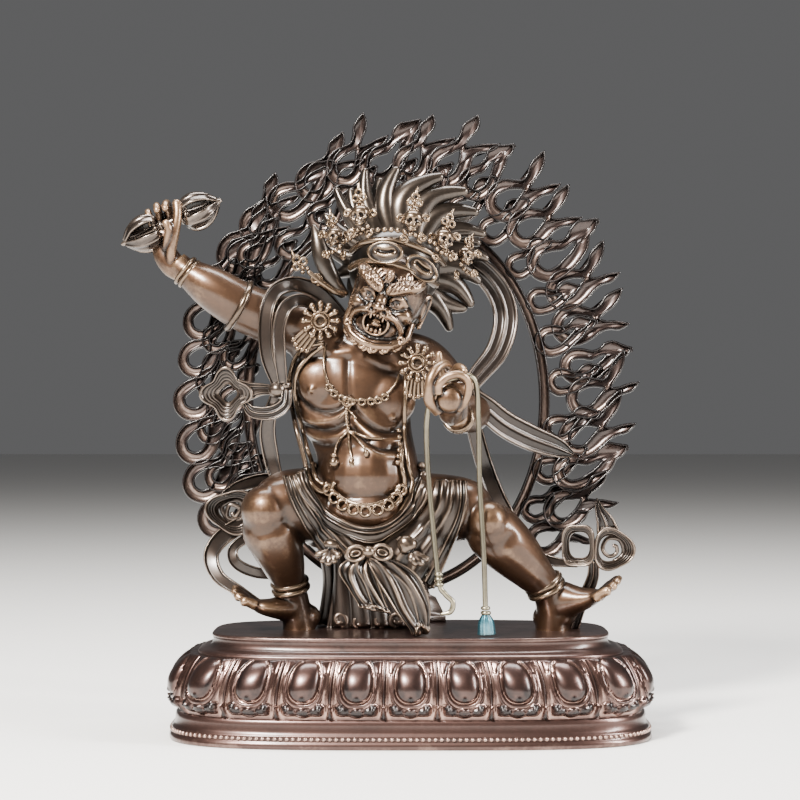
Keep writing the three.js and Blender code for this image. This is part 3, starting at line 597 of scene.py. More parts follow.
right_leg = [
    sweep([(-9, 1, 38), (-18, -4, 39.6), (-23, -7.4, 39.6), (-26, -9, 38.2)], [7, 6.4, 5.4, 4.4], 40, 30,
          ends=(0, 1)),
    sweep([(-24.2, -8.6, 39.6), (-24.2, -8, 36.4), (-23, -6.4, 33), (-21.8, -4, 29), (-20.9, -2, 25.6),
           (-20, -0.6, 22), (-19.4, 0, 17.3)],
          [(4.9, 4.6), (5, 4.8), (4.6, 4.5), (3.6, 3.7), (2.7, 2.8), (2.5, 2.9), (2.9, 3)], 50, 28,
          ends=(1, 0)),
    blob((-24.6, -8.8, 38.8), (4.4, 4.2, 4.4)),
    sweep([(-18.6, 0.8, 20.4), (-21.4, -1, 21.4), (-24.6, -2.8, 21.7), (-27.6, -4, 22.4)],
          [(3, 2.7), (3, 2.4), (2.9, 1.6), (2.9, 1)], 34, 24, (0, 0, 1), (1, 1)),
    blob((-18.4, 0.8, 19.8), (2.7, 2.9, 2.4)),
    *toes([(-26.6, -6.4, 22.4), (-27.2, -5, 22.5), (-27.4, -3.6, 22.5), (-27.4, -2.4, 22.5),
           (-27, -1.4, 22.4)],
          [(-29.2, -7.8, 23.2), (-30.4, -6.2, 24.1), (-31.1, -4.6, 24.9), (-31.1, -3.1, 25.4),
           (-30.4, -1.8, 25.5)])]
left_leg = [
    sweep([(-6, 1, 38), (3, -3.6, 38.8), (9.6, -6.6, 38.8), (13.2, -8.4, 37.4)], [7, 6.3, 5.4, 4.4], 40, 30,
          ends=(0, 1)),
    sweep([(10.8, -7.6, 39), (14.6, -7.2, 34.6), (18, -5.6, 31.2), (21.2, -3.8, 27.8), (23.5, -2.2, 25.2),
           (24.6, -1, 21.4), (24.8, -0.6, 17.3)],
          [(4.6, 4.6), (4.9, 4.8), (4.5, 4.5), (3.5, 3.6), (2.8, 2.9), (2.7, 3), (3.1, 3)], 50, 28,
          ends=(1, 0)),
    blob((13.2, -9.4, 37), (3.6, 3.6, 3.6)),
    sweep([(22.8, -0.8, 23), (26.6, -1.6, 22.9), (29.6, -2.6, 23.2), (31.6, -3.2, 23.7), (33.4, -3.8, 24.3)],
          [(2.9, 3.6), (3, 3.4), (3, 2.2), (3, 1.5), (2.9, 1.05)], 40, 24, (0, 0, 1), (1, 1)),
    blob((24.2, 0.2, 19.8), (2.9, 3, 2.4)), blob((25.6, -0.8, 20), (3, 3, 2.2)),
    *toes([(31.6, -6, 23.5), (32.4, -4.6, 23.6), (32.6, -3.3, 23.7), (32.6, -2.2, 23.7), (32.2, -1.2, 23.6)],
          [(34.4, -7.2, 25.2), (35.6, -5.7, 26.1), (36.4, -4.3, 26.8), (36.8, -3, 27.2), (36.5, -1.8, 27.2)])]
nipples = [([place], width, height) for place in ((-17, 59.4), (-3.1, 54.7))
           for width, height in ((0.45, 0.55), (1.1, 0.12))]
body = cut(melted([trunk, *chest_and_belly, *arms, *right_leg, *left_leg], 0.38, 3), nipples + [
    ([(-20, 60.6), (-19.4, 58.2), (-17.6, 56.4), (-15, 55.6), (-12.4, 56), (-10.8, 57.4)], 0.5, -0.7),
    ([(-10.4, 57.4), (-8.8, 55), (-6.6, 53.2), (-3.8, 52.4), (-1, 53), (0.4, 54.6)], 0.5, -0.7),
    ([(-10.8, 64.5), (-10.8, 61), (-10.6, 57.6), (-10.2, 54), (-9.4, 51.4)], 0.55, -0.35),
    ([(-19, 54.9), (-16.4, 53.9), (-13.4, 54.2), (-11.2, 55.4)], 0.6, 0.4),
    ([(-19, 53.5), (-16, 52.5), (-13, 52.7), (-11, 53.8)], 0.4, -0.55),
    ([(-18.6, 52.2), (-15.8, 51.2), (-12.8, 51.4), (-11, 52.4)], 0.5, 0.4),
    ([(-18, 50.7), (-15.2, 49.8), (-12.4, 50.1)], 0.4, -0.5),
    ([(-9.6, 54.2), (-7.4, 52.2), (-4.6, 50.8), (-1.2, 50.8)], 0.5, 0.4),
    ([(-9.6, 52.6), (-7.6, 50.8), (-4.8, 49.5), (-1.4, 49.4)], 0.4, -0.55),
    ([(-9.4, 51.2), (-7.4, 49.4), (-4.8, 48.1), (-1.6, 48)], 0.5, 0.35),
    ([(-16.8, 66.6), (-13.4, 65.8), (-10.4, 66.2)], 0.8, 0.25),
    ([(-1.6, 63.4), (-4.6, 64), (-7.4, 65.4)], 0.8, 0.25),
    ([(-27.4, 35.6), (-25.4, 34.8), (-22.4, 35.6)], 1, -0.3),
    ([(-25, 33.4), (-24.2, 30.8), (-22.8, 27.8)], 0.9, 0.2),
    ([(11.6, 32.8), (14.2, 32.4), (17, 34.4)], 1, -0.3),
    ([(16.4, 32), (19.2, 29.4), (21.6, 27.2)], 0.9, 0.2),
])
skin_metal = copper("skin_copper", (0.009, 0.005, 0.003), (0.058, 0.029, 0.015), (0.27, 0.17, 0.1), 0.48)
cast("body", [body], skin_metal)

# Each hand is built up finger by finger on its palm: the raised one closes round the sceptre with its
# first finger up, the lowered one makes a ring of thumb and first finger over the bent ones.


def finger(points, radius):
    """A finger through its knuckles, which narrows to its round tip."""
    count = len(points)
    return sweep(points, radius * np.linspace(1, 0.78, count), 10 * count, 14, (0, -1, 0.2), (0, 1))


raised_hand = melted([
    sweep([(-39.4, -4.5, 79.9), (-41.2, -4.4, 81.2), (-42.6, -4, 83.4), (-42.6, -3.8, 86.2),
           (-42.2, -3.8, 88)],
          [(1.95, 1.7), (2.2, 1.7), (2.1, 1.6), (1.9, 1.4), (1.7, 1.2)], 34, 22, ends=(0, 1)),
    finger([(-41.3, -5.2, 81.4), (-41.2, -5.9, 83.6), (-40.6, -6.4, 86.4), (-40.1, -6.4, 89.6),
            (-40.4, -5.8, 92.3)], 0.98),
    finger([(-42.2, -4.6, 83.4), (-41.8, -6.3, 85.2), (-41.6, -7, 87.2), (-42.4, -7, 88.6)], 0.85),
    finger([(-42.2, -3.4, 86.6), (-42, -2.4, 89.2), (-42.2, -3.4, 91.6), (-42.3, -5.2, 91.5),
            (-42.2, -6.3, 90.2)], 0.8),
    finger([(-43, -3.4, 86.2), (-43.6, -2.4, 88.6), (-43.9, -3.2, 91), (-43.9, -5, 91.2), (-43.6, -6, 89.9)],
           0.76),
    finger([(-43.6, -3.6, 85), (-44.8, -2.8, 87.2), (-45.3, -3.6, 89.6), (-45.4, -5, 90.2), (-45, -5.9, 89)],
           0.68),
], 0.18)
lowered_hand = melted([
    sweep([(8.2, -7.2, 54.5), (7.8, -9.2, 55.4), (7, -11.6, 58), (6.6, -12.6, 60.8)],
          [(2.05, 1.8), (2.2, 1.7), (3.1, 1.4), (3, 1.1)], 30, ends=(0, 1)),
    sweep([(7.6, -9.6, 55.2), (6.8, -13.2, 55.7), (6.5, -16, 57)], [(2.2, 1.5), (2.2, 1.6), (1.8, 1.4)], 20,
          20, ends=(0, 1)),
    blob((6.5, -16.2, 57.7), (2.2, 1.5, 2.3)),
    finger([(4.6, -14.8, 55.6), (3.2, -16.6, 57.2), (3.1, -17.4, 59.2), (3.5, -17.5, 61.2),
            (4.5, -16.9, 62.8), (5.7, -15.6, 63.5), (6.5, -14, 62.8)], 0.98),
    finger([(4.6, -17.2, 58.6), (4.7, -17.9, 60), (5.9, -18.1, 61.2), (7.4, -18.2, 61.7), (8.7, -18.1, 61.5),
            (9.6, -17.6, 60.5), (9.6, -17, 58.8), (8.9, -16.2, 56.9), (7.6, -15.6, 55.6)], 0.8),
    finger([(7.4, -12.6, 61.4), (7.8, -13.8, 63), (8.6, -15.4, 62.9), (9.2, -16.6, 62)], 0.75),
    finger([(9, -11.9, 60.4), (9.7, -13.1, 61.6), (10.2, -14.4, 60.8), (10, -15.2, 59.2)], 0.7),
    finger([(5.4, -12.6, 61.8), (5, -13.4, 63.8), (4.8, -13.6, 65), (4.9, -13.4, 65.8)], 0.7),
], 0.18)
cast("hands", [raised_hand, lowered_hand], skin_metal)

# The sceptre is a thunderbolt with two ends: four curved prongs close on a point at each end, over
# collars of lotus beads, with a round grip in the fist.
sceptre_centre = (-41.4, -4.2, 88.5)
sceptre_rise = 24


def hoop(middle, radius, thick, turn=(0, 0, 0), squash=1.0, count=36, around=10):
    """A ring round the Y axis, turned and moved: a small circle carried round a large one."""
    small = circle(around) * thick
    flat = (circle(count) * (1, squash))[::-1, None] * (radius + small[:, :1])
    return moved(looped(np.insert(flat, 1, small[:, 1], axis=2)), turn, middle)


prong_across = np.linspace(1, -1, 13)
prong_front = 0.5 + 0.5 * (1 - prong_across ** 2) + 0.7 * ridge(prong_across, 0.16)
prong_back = 0.1 - 0.9 * prong_across ** 2
prong = np.array([*zip(prong_across, prong_front), *zip(prong_across[-2:0:-1], prong_back[-2:0:-1])])
prong_path = [(3, 0.9), (2.7, 2.1), (3.6, 2.75), (5.2, 2.8), (6.8, 2.2), (8, 1), (8.7, 0.25)]
prong_sizes = [(0.5, 0.4), (1, 0.4), (1.4, 0.45), (1.5, 0.5), (1.25, 0.45), (0.75, 0.4), (0.35, 0.3)]
sceptre_parts = [sweep([(x, 0, 0) for x in (-3.4, -1.6, 1.6, 3.4)], [1.3, 0.85, 0.85, 1.3], 24, 18,
                       (0, 0, 1))]
for side in (-1, 1):
    sceptre_parts += [
        hoop((side * 1.9, 0, 0), 0.95, 0.3, (0, 0, 90)),
        beads([(side * 2.9, 1.25 * y, 1.25 * z) for y, z in circle(10)], 0.42),
        sweep([(side * x, 0, 0) for x in (3, 6, 8.2, 9.6)], [0.9, 0.6, 0.65, 0.25], 24, 12, (0, 0, 1),
              (0, 1))]
    for angle in np.radians((40, 130, 220, 310)):
        y, z = np.cos(angle), np.sin(angle)
        sceptre_parts.append(sweep([(side * x, out * y, out * z) for x, out in prong_path], prong_sizes,
                                   40, 18, (0, y, z), (1, 1), prong))
sceptre_metal = copper("sceptre_copper", (0.006, 0.005, 0.004), (0.04, 0.029, 0.023), (0.18, 0.14, 0.112),
                       0.34)
cast("sceptre", [moved(joined(sceptre_parts), (0, -sceptre_rise, 0), sceptre_centre)], sceptre_metal)

# The head is a mask of wrath: swollen brows meet over a broad nose, the eyes bulge, the cheeks ball up
# and the round mouth gapes on fangs and a curled tongue, with a rim of curled beard along the jaw.
head_centre = (-3.6, -6.0, 75.4)
head_turn = (8, 19, -8)


def snail(middle, radius, thick, winds=1.4, hand=1, turn=(0, 0, 0)):
    """A curl: a round thread on a spiral whose radius shrinks to a quarter as it comes forward."""
    t = np.linspace(0, 1, 9)
    angle = hand * 2 * np.pi * winds * t - np.pi / 2
    reach = radius * (1 - 0.75 * t)
    path = np.stack([reach * np.cos(angle), -1.2 * thick * t, reach * np.sin(angle)], 1)
    return moved(sweep(path, thick * (1 - 0.25 * t), 36, 10, (0, -1, 0.01), (1, 1)), turn, middle)


def both(*shells):
    """Shells and their images in a mirror that stands on X = 0."""
    images = [(points * (-1, 1, 1), [block[:, ::-1] for block in faces]) for points, faces in shells]
    return [*shells, *images]


head_masses = [
    blob((0, 0.4, 0.8), (6.2, 6.1, 7), rows=24, around=36),
    blob((0, -1.4, -4.8), (5, 4.5, 3.7), rows=20, around=30),
    sweep([(0, -5.4, 2.2), (0, -6.6, 0.4), (0, -7.5, -1.2)], [0.85, 0.9, 1.15], 20, 16, ends=(0, 1)),
    blob((0, -7.4, -1.35), (1.15, 1, 0.85)), blob((0, -5.7, 3.9), (0.85, 1, 1.35)),
    blob((0, 0.6, -7.5), (4.2, 3.6, 3)), hoop((0, -5.7, -4.2), 2, (0.5, 0.55), (6, 0, 0), 0.95, 48, 14),
    *both(
        blob((3.5, -4.3, -1.8), (2.2, 2, 1.7)), blob((1.35, -6.5, -1.6), (0.95, 0.95, 0.75)),
        blob((2.75, -5.1, 0.15), (1.55, 1.25, 1.05)), blob((6, 0.8, -0.2), (0.7, 1.3, 2.1)),
        sweep([(1.2, -5.9, -0.1), (2, -6.3, 0.85), (3.2, -6.1, 1), (4.3, -5, 0.1)], [0.3, 0.36, 0.36, 0.25],
              20, 10),
        sweep([(1.2, -5.8, -0.2), (2, -6, -0.8), (3.2, -5.8, -0.8), (4.2, -5, 0)], [0.25, 0.28, 0.28, 0.25],
              20, 10),
        sweep([(0.3, -6.5, 1.3), (1.4, -6.7, 2.1), (3, -6.2, 3), (4.6, -5, 3.6), (5.7, -3.4, 4.4)],
              [(0.7, 0.9), (1.15, 1.2), (1.35, 1.3), (1.2, 1.2), (0.6, 0.7)], 30, 18, ends=(1, 1)),
        sweep([(0.3, -6.9, -2.3), (1.8, -6.9, -2.3), (3.4, -6, -2.9), (4.4, -4.9, -4.2), (4.5, -4.2, -5.6)],
              [0.4, 0.6, 0.55, 0.5, 0.35], 30, 12, ends=(1, 1)),
        sweep([(5.2, -1.6, -3), (5.2, -3.2, -5.4), (3.6, -4.6, -7.2), (1.2, -5.4, -7.9), (-0.2, -5.5, -8)],
              [(0.8, 0.8), (0.9, 0.9), (0.95, 1), (0.95, 1), (0.9, 1)], 30, 14),
        sweep([(6.1, 0, 1.4), (6.5, 1, 2.2), (6.7, 2, 1), (6.5, 1.6, -1.2), (6.2, 0.4, -4)],
              [0.32, 0.36, 0.36, 0.4, 0.5], 24, 10, (1, 0, 0), (1, 1))),
]
head_cuts = [
    ([(0, -4.2)], 1.45, -1.9), ([(0, -3.2)], 0.9, -0.5), ([(0, -5.2)], 0.9, -0.4),
    ([(-0.5, 4), (0, 4.6), (0.5, 4), (0, 3.2), (-0.5, 4)], 0.14, -0.2),
    ([(-3.4, -6.6), (-1.6, -7.2), (0, -7.3), (1.6, -7.2), (3.4, -6.6)], 0.22, -0.3)]
for side in (-1, 1):
    head_cuts += [([(side * x, z) for x, z in line], width, depth) for line, width, depth in (
        ([(2.75, 0.1)], 0.32, -0.4), ([(1.35, -2)], 0.3, -0.5), ([(5, -6.1), (4.9, -4.9)], 0.2, -0.3),
        ([(1.6, -0.9), (2.6, -1.2), (4, -0.8)], 0.2, -0.25),
        *[([(0.9 + 0.82 * i, 1.4 + 0.52 * i), (1.35 + 0.85 * i, 2.9 + 0.5 * i),
            (1.1 + 0.85 * i, 3.9 + 0.5 * i)],
           0.17, -0.38) for i in range(6)])]
mask = cut(melted(head_masses, 0.19), head_cuts)
beard = both(*[snail((x, y, z), 0.85, 0.4, 1.4, -1, (0, tilt, 0)) for x, y, z, tilt in (
    (4.5, -3.9, -7.2, -20), (2.8, -5.2, -8.1, -10), (0.95, -5.7, -8.6, 0), (5.4, -2.4, -5.4, -40))],
    snail((4.9, -4.3, -5.9), 0.7, 0.32, 1.3, -1))
upper_teeth = [sweep([(x, -5.5, -2.2), (x * 0.95, -6, -2.8), (x * 0.9, -5.9, -2.7 - drop)],
                     [0.36, 0.3, 0.1], 10, 10, (0, -1, 0.3), (1, 1))
               for x, drop in ((-1.2, 1.2), (-0.62, 0.6), (0, 0.55), (0.62, 0.6), (1.2, 1.2))]
lower_teeth = [sweep([(x, -5, -6.1), (x * 0.96, -5.7, -5.6), (x * 0.94, -5.7, -5.6 + rise)],
                     [0.36, 0.3, 0.12], 10, 10, (0, -1, -0.3), (1, 1))
               for x, rise in ((-1.2, 0.9), (-0.4, 0.4), (0.4, 0.4), (1.2, 0.9))]
tongue = sweep([(0, -3.4, -5), (0, -4.6, -4.9), (0.1, -5.6, -4.5), (0.1, -5.7, -3.9), (0, -5.1, -3.7),
                (-0.1, -4.9, -4.1)],
               [(0.9, 0.3), (0.95, 0.32), (0.85, 0.3), (0.7, 0.28), (0.55, 0.25), (0.3, 0.2)], 30, 12,
               (0, 0, 1), (1, 1))
head = joined([mask, *beard, *upper_teeth, *lower_teeth, tongue])
face_metal = copper("face_copper", (0.006, 0.004, 0.003), (0.055, 0.029, 0.016), (0.25, 0.16, 0.098), 0.33)
cast("face", [moved(head, head_turn, head_centre)], face_metal)

# The hair stands up in a fan of thick smooth locks, each blown over at its blunt tip. Shorter ones
# fill the gaps behind, and a low row covers the neck.
lock_section = circle(24)
lock_section[:, 1] *= 1 - 0.12 * np.cos(2 * evenly(24))


def lock(x, y, z, size, bow):
    """One lock from the scalp to its tip: along the straight line between them it bows to the left by
    bow mm at two fifths and back past the line near the tip, so that it hooks over to the right."""
    scalp, tip = np.array([-3, 0, 81]), np.array([x, y, z])
    start = scalp + (tip - scalp) * (0.28, 1, 0.28) - (0, 1, 0)
    reach = tip - start
    left = unit(np.array([-reach[2], 0, reach[0]]))
    path = [start + reach * share + left * bow * sway for share, sway in (
        (0, 0), (0.2, 0.7), (0.42, 1.15), (0.64, 0.95), (0.84, 0.1), (1, -0.9))]
    sizes = [(width * size, thick) for width, thick in (
        (1.9, 1.6), (2.05, 1.7), (1.95, 1.6), (1.5, 1.3), (1.05, 0.9), (0.55, 0.5))]
    return sweep(path, sizes, 44, ends=(0, 1), section=lock_section)


hair_parts = [lock(*tip) for tip in (
    (-13.5, -0.8, 94.7, 0.85, 0.5), (-8.6, -0.6, 98.2, 0.95, 0.9), (-3.2, -0.8, 98.6, 1.1, 1.2),
    (3.9, -1, 97.8, 1.25, 2.4), (8.6, -0.6, 95.6, 1.2, 2.3), (11, 0, 92, 1.15, 2),
    (12.8, 0.6, 88.1, 1.05, 1.6), (13.7, 1.4, 83.5, 1, 1.2), (12.6, 2.2, 79.4, 1.1, 1.2),
    (11.4, 2.6, 75.2, 1.15, 1.3), (9.8, 3, 73.4, 1.1, -0.7), (7.6, 2.8, 70.4, 1.1, 0.9),
    (-15.6, 2.6, 90.4, 1, 0.6), (-11.2, 3, 95, 1, 0.8), (-6, 3.2, 97, 1.1, 1.1), (0.2, 3.4, 97.4, 1.2, 1.5),
    (6.2, 3.4, 95.2, 1.2, 1.6), (10, 3.6, 91.4, 1.15, 1.4), (12.2, 3.8, 86.6, 1.05, 1.3),
    (12.4, 4, 81.4, 1, 1), (-15.6, 2.6, 85, 1, 0.4), (-13.6, 2.4, 80, 0.9, -0.4))]
hair_parts += [
    blob((-2.8, 0, 80.5), (8, 6.2, 8), rows=20, around=30),
    sweep([(-11.2, -1.6, 75.6), (-13.6, -2.2, 78.6), (-15.4, -2.6, 82.6), (-16.2, -2.4, 86),
           (-17, -1.8, 88.4)],
          [(0.8, 0.7), (1.5, 1.1), (1.6, 1.1), (1.1, 0.8), (0.35, 0.35)], ends=(1, 1))]
for angle in np.radians((20, 60, 95, 130, 165)):
    c, s = np.cos(angle), np.sin(angle)
    hair_parts.append(sweep([(5.4 * c - 3, 4.4, 5.4 * s + 81), (6.6 * c - 3, 4.6, 5 * s + 76),
                             (4.4 * c - 3.8, 4.4, 70.4)],
                            [(2, 1.5), (1.9, 1.4), (0.6, 0.6)], 24, 18, ends=(1, 1)))
hair_metal = copper("hair_copper", (0.005, 0.004, 0.003), (0.026, 0.019, 0.014), (0.1, 0.074, 0.056), 0.4)
cast("hair", hair_parts, hair_metal)

# The crown: two bands and a row of beads under five small skulls, each with curls beside it and an
# openwork jewel above, two oval plaques over the brow, and an ornament on a stalk at the side.
bone = cut(melted([
    blob((0, 0, 0.45), (1.75, 1.6, 1.5)), blob((0, -0.5, -0.7), (1.15, 1.1, 1)),
    *both(blob((0.95, -1, -0.35), (0.6, 0.5, 0.4))), blob((0, -1.35, -1.25), (0.8, 0.45, 0.4)),
], 0.14), [([(-0.62, 0.25)], 0.34, -0.7), ([(0.62, 0.25)], 0.34, -0.7), ([(0, -0.45)], 0.17, -0.4),
           ([(-0.8, -1.15), (0.8, -1.15)], 0.12, -0.3)])
finial = joined([
    *[hoop((x, 0, z), radius, (0.27, 0.32), count=20, around=8)
      for x, z, radius in ((-0.75, 0.9, 0.55), (0.75, 0.9, 0.55), (0, 1.9, 0.6))],
    beads([(0, 0, 0.1), (-0.5, 0, -0.5), (0.5, 0, -0.5), (0, -0.1, 1.15)], 0.42),
    sweep([(0, 0, 2.2), (0.1, 0, 3), (0.35, 0, 3.8)], [0.45, 0.3, 0.12], 12, 10, ends=(1, 1))])
plaque = cut(melted([blob((0, 0, 0), (3.1, 0.9, 1.95), rows=24, around=40),
                     hoop((0, -0.45, 0), 2.85, (0.34, 0.4), squash=0.62, count=56)], 0.16), [
    ([(-1.3, 0.35), (-0.5, 0.15), (0.5, 0.15), (1.3, 0.35)], 0.26, -0.75),
    ([(-1.2, -0.2), (0, -0.5), (1.2, -0.2)], 0.3, 0.2)])
crown_parts = [
    moved(finial, (0, -38, 0), (-18.6, -3.4, 80.6)), snail((-16.4, -3.2, 78.6), 1.1, 0.4),
    sweep([(-10.8, -2, 76.2), (-13.2, -3, 76.6), (-15.6, -3.4, 78.2), (-18, -3.4, 80.2)],
          [0.5, 0.6, 0.6, 0.4], 30, 12, ends=(1, 1)),
    moved(plaque, (4, 4, -10), (-4.2, -11.2, 82.6)), moved(plaque, (4, 34, 16), (1.8, -9.6, 80)),
    sweep([(-10.6, -4.6, 80.4), (-7.6, -9.2, 81.2), (-2.6, -10.6, 80.6), (2.2, -8.8, 78.6),
           (4.6, -4.6, 77.4)],
          [(0.8, 0.7)] * 5, 50, 12, (0, 0, 1), (1, 1)),
    sweep([(-10.4, -4.6, 83.2), (-7.6, -9, 84.6), (-2, -10.4, 84.6), (3.6, -8.6, 82.6), (6, -4.2, 81)],
          [(0.7, 0.6)] * 5, 50, 12, (0, 0, 1), (1, 1)),
    beads(along([(-11.6, -5, 85), (-7.8, -9.4, 86.3), (-1.6, -10.9, 86.3), (4.4, -8.8, 84.2),
                 (7.2, -4.4, 82.6)], 24),
          0.48)]
for x, y, z, turn, size in ((-13, -6.6, 85.6, -42, 0.9), (-8.5, -9.8, 89, -20, 0.98), (0.4, -10.8, 88, 4, 1),
                            (5.7, -8.6, 85, 26, 0.98), (9.4, -4.8, 82.4, 50, 0.9)):
    lean = turn * 0.55 + 4
    top = (x, y + 0.4, z) + spun((0, lean, turn)) @ (0, 0.3, 2.4 * size)
    crown_parts += [
        moved(bone, (8, lean, turn), (x, y, z), size), moved(finial, (0, lean, turn), top, 0.95 * size),
        moved(beads([(-1.3, 0, 0), (-0.45, -0.2, -0.3), (0.45, -0.2, -0.3), (1.3, 0, 0)], 0.42),
              (0, lean, turn), (x, y - 0.4, z - 2.1))]
    for side in (-1, 1):
        crown_parts += [snail((x + side * 1.6, y - 0.1, z - 3), 0.75, 0.34, 1.3, -side, (0, lean, turn)),
                        snail((x + side * 2.2, y + 0.5, z + 0.4), 0.8, 0.34, 1.2, -side,
                              (0, lean + 30 * side, turn))]
crown_metal = copper("crown_copper", (0.005, 0.003, 0.002), (0.04, 0.025, 0.016), (0.19, 0.128, 0.078), 0.34)
cast("crown", crown_parts, crown_metal)

# The skirt is thin cloth in the wax, laid over the hips and thighs in overlapping panels with doubled
# hems. A rolled belt holds it under the belly, with a bow, two tiger's paws and a folded sash.


def front_of(shell, cell, reach):
    """How far forward a skin stands at any X and Z: the least Y of its points in each square cell, then
    the least within reach cells, evened out. Off the skin it gives 50."""
    flat = shell[0][:, [0, 2]]
    low = flat.min(0) - 4
    shape = ((flat.max(0) + 4 - low) / cell).astype(int) + 1
    depth = np.full(shape, 50.0)

    def cells(x, z):
        """The row and the column of the cells at X and Z."""
        return tuple(np.clip(((place - start) / cell).astype(int), 0, last)
                     for place, start, last in zip((x, z), low, shape - 1))

    np.minimum.at(depth, cells(*flat.T), shell[0][:, 1])
    for step in range(reach + 2):
        padded = np.pad(depth, 1, mode="edge")
        beside = [padded[i:i + shape[0], j:j + shape[1]] for i in range(3) for j in range(3)]
        depth = np.min(beside, 0) if step < reach else np.minimum(depth, np.mean(beside, 0))
    return lambda x, z: depth[cells(x, z)]


skin_at = front_of(body, 0.5, 2)


def panel(left, right, pleat, thick, bulge, rows, columns, over=None):
    """Cloth between two edge lines, closed front and back. At u across and v down it stands out by
    bulge * sin(pi u) and by pleat(u, v). Over a skin it lies just in front, evened out 30 times."""
    u, v = np.linspace(0, 1, columns), np.linspace(0, 1, rows)[:, None]
    start, end = along(left, rows)[:, None], along(right, rows)[:, None]
    flat = start + (end - start) * u[:, None]
    flat[..., 1] -= bulge * np.sin(np.pi * u)
    if over:
        level = np.minimum(flat[..., 1], over(flat[..., 0], flat[..., 2]) - 0.3)
        for _ in range(30):
            padded = np.pad(level, 1, mode="edge")
            beside = padded[2:, 1:-1] + padded[:-2, 1:-1] + padded[1:-1, 2:] + padded[1:-1, :-2]
            level = level / 2 + beside / 8
        flat[..., 1] = level
    facing = unit(np.cross(np.gradient(flat, axis=0), np.gradient(flat, axis=1)))
    edge = np.sqrt(ramp(np.minimum(u, 1 - u), 0, 1 / 14) * ramp(np.minimum(v, 1 - v), 0, 1 / 30))
    half = thick / 2 * (0.3 + 0.7 * edge[..., None])
    front = flat + facing * (half + pleat(u, v)[..., None])
    return capped(np.concatenate([front, (flat - facing * half)[:, ::-1]], 1))


def folds(u, *lines):
    """Raised lines down a panel, each (share of its width, width, height)."""
    return sum(height * ridge(u - place, width) for place, width, height in lines)


def waves(u, v, count, sway):
    """Round folds side by side, which sway and grow towards the foot."""
    return (0.4 + 0.6 * v) * np.abs(np.sin((u + sway) * count * np.pi))


def sash_folds(u, v):
    """Folds that fan out from the bow: sharp ridges with soft hollows, and a raised hem at the foot."""
    sway = 0.06 * np.sin(5.5 * v + 3 * u)
    lines = folds(u, (0.04, 0.05, 0.55), (0.34 + 1.6 * sway, 0.1, 0.8), (0.52 - sway, 0.05, 0.35),
                  (0.76 + sway, 0.09, 0.7), (0.96, 0.05, 0.55))
    return lines * (0.35 + 0.65 * ramp(v, 0, 1 / 3)) + 0.45 * ridge(v - 0.93 - 0.03 * np.sin(9 * u), 0.03)


def girdle(shell, middle, low, high, start, end, rise, count=60):
    """The line round a skin between two heights, rise mm outside it: in each direction from start to end
    degrees about the middle, the farthest point, evened out."""
    slab = shell[0][(shell[0][:, 2] > low) & (shell[0][:, 2] < high)]
    away = slab[:, :2] - middle
    angle, far = np.degrees(np.arctan2(away[:, 1], away[:, 0])), np.hypot(*away.T)
    at = np.linspace(start, end, count)
    reach = np.array([far[np.abs((angle - a + 180) % 360 - 180) < 14].max() for a in at])
    for _ in range(6):
        reach[1:-1] = (reach[:-2] + 2 * reach[1:-1] + reach[2:]) / 4
    c, s = np.cos(np.radians(at)), np.sin(np.radians(at))
    return np.stack([middle[0] + (reach + rise) * c, middle[1] + (reach + rise) * s,
                     np.full(count, (low + high) / 2)], 1)


def paw(root, tips):
    """A tiger's paw: a leg that swells to the ball of the foot, and round toes."""
    middle = np.mean(tips, 0) * 0.6 + np.multiply(root, 0.4)
    leg = sweep([root, middle + (0, 0.6, 0)], [(1.2, 1), (2.1, 1.4)], 14, 14, ends=(1, 1))
    return melted([leg, *[sweep([middle, np.multiply(tip, 0.6) + middle * 0.4 - (0, 0.3, 0), tip],
                                [0.72, 0.62, 0.56], 14, 12, ends=(1, 1)) for tip in tips]], 0.16)


